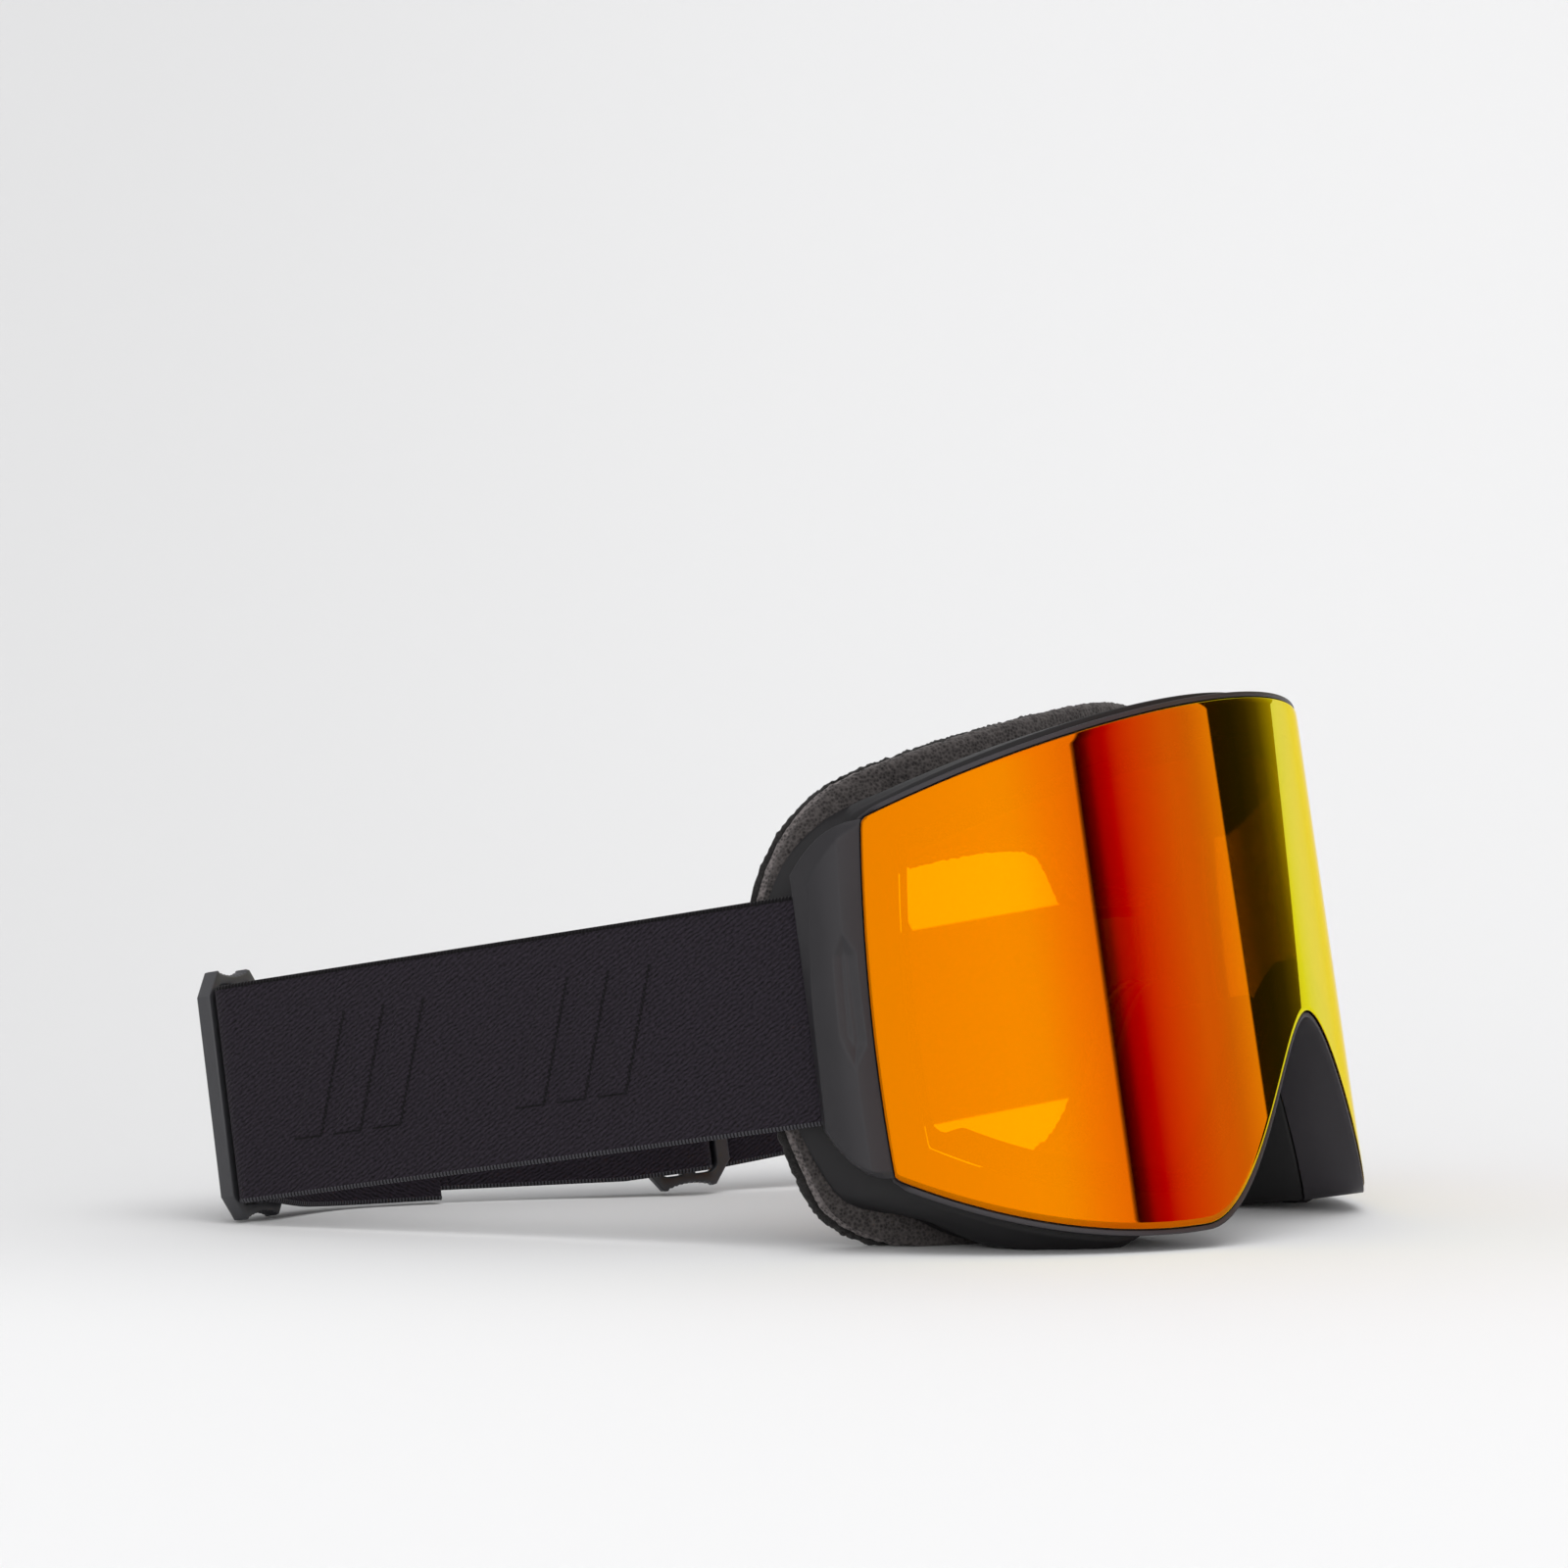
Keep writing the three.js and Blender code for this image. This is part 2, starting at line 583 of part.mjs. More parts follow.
// Steps of the run between the sliders, of the stretch at each end where its layers close up, and of the
// sewn tails.
const SHARED_STEPS = 22;
const CLOSING_STEPS = 7;
const TAIL_STEPS = 8;

function addStraps() {
  const rightLoop = barLoop(rightBarFrame, 1);
  const corner = rightSlider.place(-10.4, -7);
  const intoSlider = rightSlider.place(-10.4 + 3, -47).sub(corner);
  const rightPull = rightBarFrame.along.clone().multiplyScalar(40);
  const rightSide = freeRun(rightLoop[rightLoop.length - 1], rightPull, corner, intoSlider, 24);
  const rightPath = [...rightLoop, ...rightSide.slice(1)];
  const rightEnd = rightPath.length - 1;
  const strapRight = webbing(rightPath, 0, rightSlider.height, rightLoop.length, rightEnd);
  addPart("strap_right", strapRight, materials.webbing);

  // Between the sliders the two layers close up side by side, and pass either side of both end bars.
  const shared = freeRun(
    rightSlider.place(SLIDER_LENGTH / 2, 0),
    rightSlider.along.clone().multiplyScalar(26),
    leftSlider.place(SLIDER_LENGTH / 2, 0),
    leftSlider.along.clone().multiplyScalar(26),
    SHARED_STEPS,
  );
  const spread = (i) => {
    const fromEnd = Math.min(i, SHARED_STEPS - i) / CLOSING_STEPS;
    return mix(UNDER_BAR, LAYER / 2, THREE.MathUtils.smoothstep(fromEnd, 0, 1));
  };
  const outerLayer = beside(shared, spread);
  const innerLayer = beside(shared, (i) => -spread(i)).reverse();
  const innerTail = beside(shared, (i) => -spread(i) - LAYER).slice(0, TAIL_STEPS);
  const outerTail = beside(shared, (i) => spread(i) + LAYER).reverse().slice(0, TAIL_STEPS);

  const bend = [[-10.4, -7 + GAP], [-10.2, -4.9], [-9.3, -3.4], [-7.8, -UNDER_BAR]];
  const rightThreaded = onSlider(rightSlider, [...bend, ...threadedPath]);
  const rightFold = onSlider(leftSlider, foldedPath);
  const rightRearPath = [...rightThreaded, ...outerLayer, ...rightFold, ...outerTail];
  const rightSlope = [rightThreaded.length + 2, rightThreaded.length + outerLayer.length - 3];
  const heights = [rightSlider.height, leftSlider.height];
  addPart("strap_right_rear", webbing(rightRearPath, ...heights, ...rightSlope), materials.webbing);

  const leftLoop = barLoop(leftBarFrame, -1);
  const leftPull = leftBarFrame.along.clone().multiplyScalar(36);
  const leftJoin = leftSlider.place(-10, -UNDER_BAR);
  const leftApproach = leftSlider.along.clone().multiplyScalar(-22);
  const leftSide = freeRun(leftLoop[leftLoop.length - 1], leftPull, leftJoin, leftApproach, 28);
  const splitStep = 15;
  const split = leftSide[splitStep];
  const afterSplit = split.clone().lerp(leftSide[splitStep + 1], 0.1);
  const leftPath = [...leftLoop, ...leftSide.slice(1, splitStep + 1)];
  const leftHeights = [-1.3, leftSlider.height];
  const strapLeft = webbing(leftPath, ...leftHeights, leftLoop.length, leftPath.length - 1);
  addPart("strap_left", strapLeft, materials.webbing);

  const leftThreaded = [...leftSide.slice(splitStep + 1), ...onSlider(leftSlider, threadedPath)];
  const leftFold = onSlider(rightSlider, foldedPath);
  const leftRearPath = [afterSplit, ...leftThreaded, ...innerLayer, ...leftFold, ...innerTail];
  const leftSlope = [leftThreaded.length + 3, leftThreaded.length + innerLayer.length - 2];
  const rearHeights = [leftSlider.height, rightSlider.height];
  addPart("strap_left_rear", webbing(leftRearPath, ...rearHeights, ...leftSlope), materials.webbing);
}

function plateOf(outline, thickness) {
  const shape = new THREE.Shape(outline.map(([u, v]) => pair(u, v)));
  const plate = new THREE.ExtrudeGeometry(shape, { depth: thickness, bevelEnabled: false });
  return plate.translate(0, 0, -thickness / 2);
}

// A tri-glide plate: two end bars and a centre bar, with two pointed ears past each edge of the webbing and a
// toothed hollow between them.
function sliderPlate() {
  const halfLength = SLIDER_LENGTH / 2;
  const ear = SLIDER_HEIGHT / 2;
  const earU = 5.7;
  const hollowDepth = 1.1;
  const toothDepth = 0.25;
  const teeth = 8;
  const edge = [[halfLength, ear - 5.2], [earU, ear]];
  for (let n = 1; n < 2 * teeth; n++) {
    const u = earU * (1 - n / teeth);
    const hollow = hollowDepth * (1 - (u / earU) ** 2);
    edge.push([u, ear - hollow - (n % 2 ? toothDepth : 0)]);
  }
  edge.push([-earU, ear], [-halfLength, ear - 5.2]);
  const outline = [...edge, ...edge.map(([u, v]) => [-u, -v])];
  const slotHalf = STRAP_WIDTH / 2 + 0.7;
  const slotFrom = CENTRE_BAR / 2;
  const slotTo = halfLength - END_BAR;
  const slots = [1, -1].map((end) => {
    const corners = [[slotFrom, slotHalf], [slotTo - 1, slotHalf], [slotTo, slotHalf - 1]];
    corners.push([slotTo, 1 - slotHalf], [slotTo - 1, -slotHalf], [slotFrom, -slotHalf]);
    return plateOf(corners.map(([u, v]) => [end * u, v]), SLIDER_THICKNESS + 2);
  });
  return cutAway(plateOf(outline, SLIDER_THICKNESS), slots);
}

function addSlider(name, slider) {
  const plate = addPart(name, sliderPlate(), materials.slider);
  const centre = slider.place(0, 0);
  plate.position.set(centre.x, centre.y, slider.height);
  plate.rotation.order = "ZXY";
  plate.rotation.set(Math.PI / 2, 0, slider.heading);
}

addLens();
addFrontFrame();
addFaceFrame();
addVentFoam();
addPadding();
addNoseFlap();
addSideCover(1, "left");
addSideCover(-1, "right");
addStraps();
addSlider("slider_right", rightSlider);
addSlider("slider_left", leftSlider);

// The part's origin is the middle of the footprint, on the table.
const part = new THREE.Group();
part.add(goggles);
part.updateMatrixWorld(true);
const box = new THREE.Box3().setFromObject(goggles, true);
goggles.position.set(-(box.min.x + box.max.x) / 2, -(box.min.y + box.max.y) / 2, -box.min.z);

export default part;
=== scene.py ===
import math

import bmesh
import bpy
import numpy as np
from mathutils import Matrix, Vector, noise


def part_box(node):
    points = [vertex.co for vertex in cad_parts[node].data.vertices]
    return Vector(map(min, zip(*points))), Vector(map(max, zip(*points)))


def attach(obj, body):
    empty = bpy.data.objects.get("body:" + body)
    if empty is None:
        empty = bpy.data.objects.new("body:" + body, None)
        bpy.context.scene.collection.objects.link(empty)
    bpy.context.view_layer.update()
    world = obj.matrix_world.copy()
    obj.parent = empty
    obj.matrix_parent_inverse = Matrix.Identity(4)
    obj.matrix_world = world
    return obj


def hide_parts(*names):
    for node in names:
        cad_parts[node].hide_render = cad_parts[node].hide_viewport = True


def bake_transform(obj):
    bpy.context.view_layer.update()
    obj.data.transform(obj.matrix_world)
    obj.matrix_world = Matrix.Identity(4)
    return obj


# Ski goggles lying on a pale floor. Shapes are worked out in millimetres on the upright goggles: the lens's
# front is the origin, -Y is forwards, +X is the wearer's left, +Z is up. UPRIGHT puts them in the CAD frame.

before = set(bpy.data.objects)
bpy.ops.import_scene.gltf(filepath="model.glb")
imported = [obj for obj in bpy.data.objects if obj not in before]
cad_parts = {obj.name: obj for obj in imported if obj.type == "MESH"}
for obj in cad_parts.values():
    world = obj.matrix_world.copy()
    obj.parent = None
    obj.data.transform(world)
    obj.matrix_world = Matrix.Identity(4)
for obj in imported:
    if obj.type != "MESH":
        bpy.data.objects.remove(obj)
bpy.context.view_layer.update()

MM = 0.001
LEAN = math.radians(8.85)
LENS_RADIUS = 88
LENS_THICKNESS = 1.8
INNER_LENS_DEPTH = 5.4
LENS_BORDER = 8
SEAT_INNER = 7
FOAM_WIDTH = 13
FACE_DEPTH = 40
FACE_BOW = 0.0062
PAD_DEPTH = 6.9
TABLE_AT_FRONT = -57.9
TABLE_SLOPE = math.tan(LEAN)
STRAP_WIDTH = 45
STRAP_THICKNESS = 1.4
BAR_X = 80.9
BAR_Y = 62.1
SLIDER_LENGTH = 20
SLIDER_HEIGHT = 52
SLIDER_THICKNESS = 3.3

ROOT = "goggles"
LENS_BODY = "lens_assembly"
RIGHT_SLIDER_BODY = "slider_right_body"
LEFT_SLIDER_BODY = "slider_left_body"


def middle(node):
    low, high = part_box(node)
    return (low + high) / 2


TILT = Matrix.Rotation(-LEAN, 4, "X")
bars_middle = (middle("strap_bar_left") + middle("strap_bar_right")) / 2
ORIGIN = bars_middle - TILT @ Vector((0, BAR_Y * MM, 0))
UPRIGHT = Matrix.Translation(ORIGIN) @ TILT @ Matrix.Scale(MM, 4)


def in_frame(point):
    return UPRIGHT @ Vector(point)


# ---- materials ----


def srgb(red, green, blue):
    """A colour as seen, 0 to 255, in the linear values a shader takes."""
    def linear(value):
        value /= 255
        return value / 12.92 if value <= 0.04045 else ((value + 0.055) / 1.055) ** 2.4
    return (linear(red), linear(green), linear(blue), 1)


def set_stops(node, stops):
    """Fills a colour ramp from pairs of a place and a colour."""
    elements = node.color_ramp.elements
    while len(elements) < len(stops):
        elements.new(0.5)
    for element, (place, colour) in zip(elements, stops):
        element.position = place
        element.color = colour


class Surface:
    """A material with one Principled shader, and short ways to add the nodes that feed it."""

    def __init__(self, name, roughness, **values):
        self.material = bpy.data.materials.new(name)
        self.material.use_nodes = True
        self.nodes = self.material.node_tree.nodes
        self.shader = self.nodes["Principled BSDF"]
        self.shader.inputs["Roughness"].default_value = roughness
        for socket, value in values.items():
            self.shader.inputs[socket.replace("_", " ")].default_value = value

    def link(self, source, target):
        self.material.node_tree.links.new(source, target)

    def add(self, kind, **values):
        node = self.nodes.new("ShaderNode" + kind)
        for key, value in values.items():
            setattr(node, key, value)
        return node

    def feed(self, socket, value):
        if isinstance(value, (int, float)):
            socket.default_value = value
        else:
            self.link(value, socket)

    def math(self, operation, a, b=0.0):
        node = self.add("Math", operation=operation)
        self.feed(node.inputs[0], a)
        self.feed(node.inputs[1], b)
        return node.outputs[0]

    def total(self, a, a_share, b, b_share):
        """The sum of two values, each times its share."""
        return self.math("ADD", self.math("MULTIPLY", a, a_share), self.math("MULTIPLY", b, b_share))

    def spread(self, value, source=(0.0, 1.0), target=(0.0, 1.0), **options):
        """A value taken from one range to another."""
        node = self.add("MapRange", **options)
        for socket, number in zip(node.inputs[1:5], (*source, *target)):
            socket.default_value = number
        self.link(value, node.inputs["Value"])
        return node.outputs["Result"]

    def blend(self, factor, a, b):
        """Colour a at factor 0, and b at 1."""
        node = self.add("Mix", data_type="RGBA")
        self.link(factor, node.inputs["Factor"])
        self.link(a, node.inputs[6])
        self.link(b, node.inputs[7])
        return node.outputs[2]

    def position(self):
        return self.add("TexCoord").outputs["Object"]

    def noise(self, scale, detail=3.0, coordinates=None, roughness=0.55, distortion=0.0):
        node = self.add("TexNoise")
        node.inputs["Scale"].default_value = scale
        node.inputs["Detail"].default_value = detail
        node.inputs["Roughness"].default_value = roughness
        node.inputs["Distortion"].default_value = distortion
        self.link(coordinates or self.position(), node.inputs["Vector"])
        return node.outputs["Fac"]

    def cells(self, scale):
        node = self.add("TexVoronoi")
        node.inputs["Scale"].default_value = scale
        self.link(self.position(), node.inputs["Vector"])
        return node.outputs["Distance"]

    def ramp(self, factor, *stops):
        node = self.add("ValToRGB")
        set_stops(node, stops)
        self.link(factor, node.inputs["Fac"])
        return node.outputs["Color"]

    def colour(self, factor, *stops):
        self.link(self.ramp(factor, *stops), self.shader.inputs["Base Color"])

    def bump(self, height, strength, distance):
        node = self.add("Bump")
        node.inputs["Strength"].default_value = strength
        node.inputs["Distance"].default_value = distance
        self.link(height, node.inputs["Height"])
        self.link(node.outputs["Normal"], self.shader.inputs["Normal"])

    def roughen(self, factor, low, high):
        self.link(self.spread(factor, target=(low, high)), self.shader.inputs["Roughness"])


# How deep each material's fine surface is, in metres.
GRAIN_DEPTH = 0.00003
LENS_RIPPLE = 0.0001
FOAM_DEPTH = 0.0006
FLEECE_DEPTH = 0.0007
WEAVE_DEPTH = 0.0003


def satin_plastic(name, dark, light, roughness):
    """Moulded plastic: a fine grain, and a slow change of shade and gloss."""
    s = Surface(name, roughness, Specular_IOR_Level=0.42)
    cloud = s.noise(60, 4)
    s.colour(cloud, (0.3, dark), (0.75, light))
    s.roughen(cloud, roughness - 0.05, roughness + 0.07)
    s.bump(s.noise(9000, 2), 0.35, GRAIN_DEPTH)
    return s.material


# Where the mirror starts and stops turning metallic, by how far it faces away, and how metallic it is there.
METAL_FACING = (0.32, 0.44)
METAL_SHARE = (0.52, 0.88)


def mirror_coating():
    """The lens's mirrored front: its colour moves from red-orange to yellow and pale green at the sides."""
    tint = (1.0, 0.75, 0.0, 1)
    s = Surface("lens_mirror", 0.03, Transmission_Weight=1.0, IOR=1.45, Specular_Tint=tint)
    facing = s.add("LayerWeight")
    facing.inputs["Blend"].default_value = 0.5
    s.colour(
        facing.outputs["Facing"],
        (0.0, (0.97, 0.25, 0.0, 1)),
        (0.04, (0.97, 0.25, 0.0, 1)),
        (0.07, (0.97, 0.19, 0.0, 1)),
        (0.1, (0.96, 0.17, 0.0, 1)),
        (0.29, (0.94, 0.22, 0.0, 1)),
        (0.36, (0.9, 0.33, 0.0, 1)),
        (0.46, (0.84, 0.5, 0.0, 1)),
        (0.53, (0.85, 0.7, 0.01, 1)),
        (0.62, (0.87, 0.9, 0.12, 1)),
        (0.78, (0.9, 0.97, 0.6, 1)),
        (1.0, (0.95, 1.0, 1.0, 1)),
    )
    metallic = s.spread(facing.outputs["Facing"], METAL_FACING, METAL_SHARE)
    s.link(metallic, s.shader.inputs["Metallic"])
    s.bump(s.noise(35, 2), 0.05, LENS_RIPPLE)
    return s.material


def dimmed(colour, share):
    return tuple(share * c for c in colour[:3]) + (1,)


def clear_lens(name, colour):
    s = Surface(name, 0.03, Transmission_Weight=1.0, IOR=1.45, Specular_Tint=(1.0, 0.5, 0.1, 1))
    s.colour(s.noise(30, 2), (0.3, colour), (0.7, dimmed(colour, 0.97)))
    return s.material


def foam(name, dark, light, cell=1500):
    """Open-cell foam: small dark pores in a matte grey."""
    s = Surface(name, 0.95, Specular_IOR_Level=0.15, Sheen_Weight=0.1, Sheen_Roughness=0.6)
    pores = s.cells(cell)
    cloud = s.noise(260, 5, roughness=0.7)
    mixed = s.total(pores, 0.55, cloud, 0.55)
    s.colour(mixed, (0.25, dark), (0.7, light))
    s.bump(mixed, 0.8, FOAM_DEPTH)
    return s.material


def fleece(name, dark, light):
    """Brushed fleece: soft tufts with a sheen."""
    s = Surface(name, 1.0, Specular_IOR_Level=0.1, Sheen_Weight=0.2, Sheen_Roughness=0.5)
    tufts = s.noise(1300, 6, roughness=0.8, distortion=0.6)
    cloud = s.noise(180, 4)
    s.colour(s.total(tufts, 0.7, cloud, 0.3), (0.35, dark), (0.68, light))
    s.bump(tufts, 0.9, FLEECE_DEPTH)
    return s.material


UV_SPAN = 400.0
TWILL_PITCH = 0.85
TWILL_ANGLE = 28
DASH_LENGTH = 0.8
DASH_WIDTH = 0.38
EDGE_BAND = 0.9
EDGE_PITCH = 0.75


def webbing(name, dark, light, edge):
    """Woven twill: fine diagonal ribs crossed by threads, and a ribbed binding along both edges. The ribs of
    the lower binding take the lighter edge colour as a painted highlight; the upper binding stays dark.
    """
    s = Surface(name, 0.85, Specular_IOR_Level=0.2, Sheen_Weight=0.06, Sheen_Roughness=0.4)
    parts = s.add("SeparateXYZ")
    s.link(s.add("TexCoord").outputs["UV"], parts.inputs[0])
    along = s.math("MULTIPLY", parts.outputs[0], UV_SPAN)
    across = s.math("MULTIPLY", s.math("SUBTRACT", parts.outputs[1], 0.5), UV_SPAN)
    plane = s.add("CombineXYZ")
    s.link(along, plane.inputs[0])
    s.link(across, plane.inputs[1])
    turn = s.add("Mapping", vector_type="TEXTURE")
    turn.inputs["Rotation"].default_value = (0, 0, math.radians(-TWILL_ANGLE))
    turn.inputs["Scale"].default_value = (DASH_LENGTH, DASH_WIDTH, 1)
    s.link(plane.outputs[0], turn.inputs["Vector"])
    dashes = s.noise(1.0, 2, turn.outputs[0], roughness=0.4)
    slope = math.radians(TWILL_ANGLE)
    wander = s.math("MULTIPLY", s.noise(0.5, 2, plane.outputs[0]), 1.2)
    level = s.total(across, math.cos(slope), along, math.sin(slope))
    twill = s.math("SINE", s.math("MULTIPLY", s.math("ADD", level, wander), 2 * math.pi / TWILL_PITCH))
    weave = s.math("ADD", s.math("MULTIPLY", twill, 0.16), dashes)
    wave = s.math("SINE", s.math("MULTIPLY", along, 2 * math.pi / EDGE_PITCH))
    rib = s.math("MULTIPLY", s.math("ADD", wave, 1.0), 0.5)
    border = s.math("GREATER_THAN", s.math("ABSOLUTE", across), STRAP_WIDTH / 2 - EDGE_BAND)
    height = s.add("Mix")
    s.link(border, height.inputs["Factor"])
    s.link(weave, height.inputs["A"])
    s.link(rib, height.inputs["B"])
    body = s.ramp(weave, (0.15, dark), (0.75, light))
    # Painted highlight: the ribs of the lower binding turn to the lighter edge colour, and the upper binding
    # keeps the dark colour.
    lower_binding_highlight = s.math("MULTIPLY", rib, s.math("LESS_THAN", across, 0.0))
    binding_with_highlight = s.ramp(lower_binding_highlight, (0.0, dark), (0.8, edge))
    s.link(s.blend(border, body, binding_with_highlight), s.shader.inputs["Base Color"])
    s.bump(height.outputs["Result"], 0.8, WEAVE_DEPTH)
    return s.material


def metal(name, colour, roughness):
    s = Surface(name, roughness, Metallic=1.0)
    streaks = s.noise(900, 3)
    s.colour(streaks, (0.3, colour), (0.7, dimmed(colour, 0.8)))
    s.roughen(streaks, roughness - 0.06, roughness + 0.08)
    return s.material


mirror = mirror_coating()
clear = clear_lens("lens_body", (1.0, 0.85, 0.3, 1))
clear_inner = clear_lens("inner_lens_tint", (1.0, 0.93, 0.7, 1))
gasket_foam = foam("gasket_foam", srgb(24, 14, 9), srgb(62, 34, 18))
front_plastic = satin_plastic("front_frame_plastic", srgb(40, 37, 41), srgb(48, 44, 49), 0.42)
shell_rubber = satin_plastic("face_frame_rubber", srgb(21, 20, 22), srgb(27, 25, 28), 0.62)
cover_plastic = satin_plastic("cover_plastic", srgb(27, 25, 29), srgb(33, 31, 35), 0.42)
slider_plastic = satin_plastic("slider_plastic", srgb(58, 58, 61), srgb(68, 68, 71), 0.36)
flap_rubber = satin_plastic("flap_rubber", srgb(16, 15, 16), srgb(21, 20, 21), 0.55)
base_foam = foam("foam_dark", srgb(24, 22, 22), srgb(82, 77, 76))
soft_foam = foam("foam_grey", srgb(38, 36, 36), srgb(125, 118, 117))
fleece_grey = fleece("fleece_grey", srgb(12, 11, 11), srgb(62, 59, 58))
filter_foam = foam("filter_foam", srgb(8, 8, 8), srgb(30, 30, 30), cell=900)
# The last colour is a painted highlight on the ribs of the strap's lower binding.
strap_weave = webbing("strap_weave", srgb(9, 6, 10), srgb(46, 40, 49), srgb(74, 73, 78))
# A darker copy of the webbing, used as painted shade along one side of each raised bar on the strap.
strap_painted_shade = webbing("strap_painted_shade", srgb(4, 3, 4), srgb(24, 21, 26), srgb(24, 21, 26))
steel = metal("bar_steel", (0.55, 0.55, 0.57, 1), 0.3)
magnet_steel = metal("magnet_black_nickel", (0.06, 0.06, 0.065, 1), 0.3)


# ---- mesh helpers ----


def shown(name, data):
    """A new object in the scene."""
    obj = bpy.data.objects.new(name, data)
    bpy.context.scene.collection.objects.link(obj)
    return obj


def build(name, points, faces, materials, face_materials=None, uvs=None):
    """A smooth mesh object in the CAD frame from points in upright millimetres."""
    mesh = bpy.data.meshes.new(name)
    mesh.from_pydata([tuple(p) for p in points], [], [tuple(int(k) for k in f) for f in faces])
    for material in materials:
        mesh.materials.append(material)
    if face_materials is not None:
        mesh.polygons.foreach_set("material_index", np.array(face_materials, np.int32))
    if uvs is not None:
        layer = mesh.uv_layers.new(name="UVMap")
        corners = np.zeros(len(mesh.loops), np.int32)
        mesh.loops.foreach_get("vertex_index", corners)
        layer.data.foreach_set("uv", np.array(uvs, np.float32)[corners].ravel())
    mesh.transform(UPRIGHT)
    mesh.polygons.foreach_set("use_smooth", np.full(len(mesh.polygons), True))
    mesh.update()
    return shown(name, mesh)


def place(obj, body, slot, *nodes):
    """The piece rides on a body, and stands for CAD nodes."""
    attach(obj, body)
    if nodes:
        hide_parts(*nodes)
    return obj


def face_out(obj):
    """Turns every face to look outwards."""
    shape = bmesh.new()
    shape.from_mesh(obj.data)
    bmesh.ops.recalc_face_normals(shape, faces=shape.faces)
    shape.to_mesh(obj.data)
    shape.free()
    return obj


def use_modifiers(obj):
    """Applies the object's modifiers to its mesh."""
    graph = bpy.context.evaluated_depsgraph_get()
    graph.update()
    made = bpy.data.meshes.new_from_object(obj.evaluated_get(graph))
    obj.modifiers.clear()
    obj.data = made
    return obj


def bevel(obj, width, segments=2, angle=35):
    modifier = obj.modifiers.new("bevel", "BEVEL")
    modifier.width = width * MM
    modifier.segments = segments
    modifier.limit_method = "ANGLE"
    modifier.angle_limit = math.radians(angle)
    modifier.use_clamp_overlap = True
    return use_modifiers(obj)


def grid_faces(rows, columns, close_rows=False, close_columns=False):
    """Quads over rows x columns points, stored row by row."""
    faces = []
    for i in range(rows if close_rows else rows - 1):
        for j in range(columns if close_columns else columns - 1):
            a, b = i % rows, (i + 1) % rows
            c, d = j % columns, (j + 1) % columns
            faces.append((a * columns + c, a * columns + d, b * columns + d, b * columns + c))
    return faces


def slab_faces(rows, columns):
    """A thin sheet's front faces, then its back and rim ones, over a front grid of points and a back one."""
    count = rows * columns
    front = grid_faces(rows, columns)
    back = [tuple(k + count for k in reversed(f)) for f in front]
    rim = [i * columns for i in range(rows)] + [(rows - 1) * columns + j for j in range(1, columns)]
    rim += [i * columns + columns - 1 for i in range(rows - 2, -1, -1)] + list(range(columns - 2, 0, -1))
    return front, back + [(a, b, b + count, a + count) for a, b in zip(rim, rim[1:] + rim[:1])]


def prism(name, low, high, material):
    """A closed solid between two rings of points."""
    count = len(low)
    faces = [(i, (i + 1) % count, count + (i + 1) % count, count + i) for i in range(count)]
    faces += [tuple(range(count)), tuple(range(count, 2 * count))]
    return face_out(build(name, np.concatenate([low, high]), faces, [material]))


def ring(name, section, materials):
    """A closed ring: section is a list of arrays, each one a line of places round the ring."""
    points = np.stack(section, axis=1).reshape(-1, 3)
    faces = grid_faces(len(section[0]), len(section), True, True)
    return face_out(build(name, points, faces, materials))


def run(name, section, materials):
    """An open run with flat ends: section is a list of arrays, each one a line of places along it."""
    count, size = len(section[0]), len(section)
    points = np.stack(section, axis=1).reshape(-1, 3)
    faces = grid_faces(count, size, False, True)
    faces.append(tuple(range(size)))
    faces.append(tuple(range((count - 1) * size, count * size)))
    return face_out(build(name, points, faces, materials))


def subtract(obj, cutters):
    for cutter in cutters:
        modifier = obj.modifiers.new("cut", "BOOLEAN")
        modifier.operation = "DIFFERENCE"
        modifier.solver = "EXACT"
        modifier.object = cutter
    use_modifiers(obj)
    for cutter in cutters:
        bpy.data.objects.remove(cutter)
    return obj


def vertices_of(obj):
    points = np.zeros(len(obj.data.vertices) * 3)
    obj.data.vertices.foreach_get("co", points)
    return points.reshape(-1, 3)


def set_vertices(obj, points):
    obj.data.vertices.foreach_set("co", np.asarray(points, np.float32).ravel())
    obj.data.update()


def roughen_surface(obj, *layers):
    """Moves each point along its normal by layers of noise: (size in mm, depth in mm)."""
    normals = np.zeros(len(obj.data.vertices) * 3)
    obj.data.vertices.foreach_get("normal", normals)
    points = vertices_of(obj)
    moves = np.zeros(len(points))
    for size, depth in layers:
        scale = 1 / (size * MM)
        moves += depth * MM * np.array([noise.noise(Vector(p) * scale) for p in points])
    points = points + normals.reshape(-1, 3) * moves[:, None]
    points[:, 2] = np.maximum(points[:, 2], 0.0001)
    set_vertices(obj, points)
    return obj


# ---- outlines of the lens and the face side ----

STRETCH_STEPS = (12, 7, 11, 8)
FINE = 8
HALF = sum(STRETCH_STEPS) * FINE
LOOP = 2 * HALF


def bezier(*ends):
    """A curve through its first and last points, drawn towards those between."""
    ends = np.array(ends, float)

    def curve(t):
        points = np.repeat(ends[:, None, :], len(t), axis=1)
        while len(points) > 1:
            points = points[:-1] + (points[1:] - points[:-1]) * t[None, :, None]
        return points[0]
    return curve


def arch(start, end, height):
    def curve(t):
        s = start + (end - start) * t
        return np.stack([s, height(s)], axis=1)
    return curve


def path_lengths(path):
    """How far along a path each of its points is."""
    return np.r_[0, np.cumsum(np.linalg.norm(np.diff(path, axis=0), axis=1))]


def soften(loop, reach):
    """Rounds the corners of a closed loop, by a moving average over reach samples each way."""
    offsets = np.arange(-3 * reach, 3 * reach + 1)
    weights = np.exp(-0.5 * (offsets / reach) ** 2)
    weights /= weights.sum()
    return sum(w * np.roll(loop, -int(k), axis=0) for w, k in zip(weights, offsets))


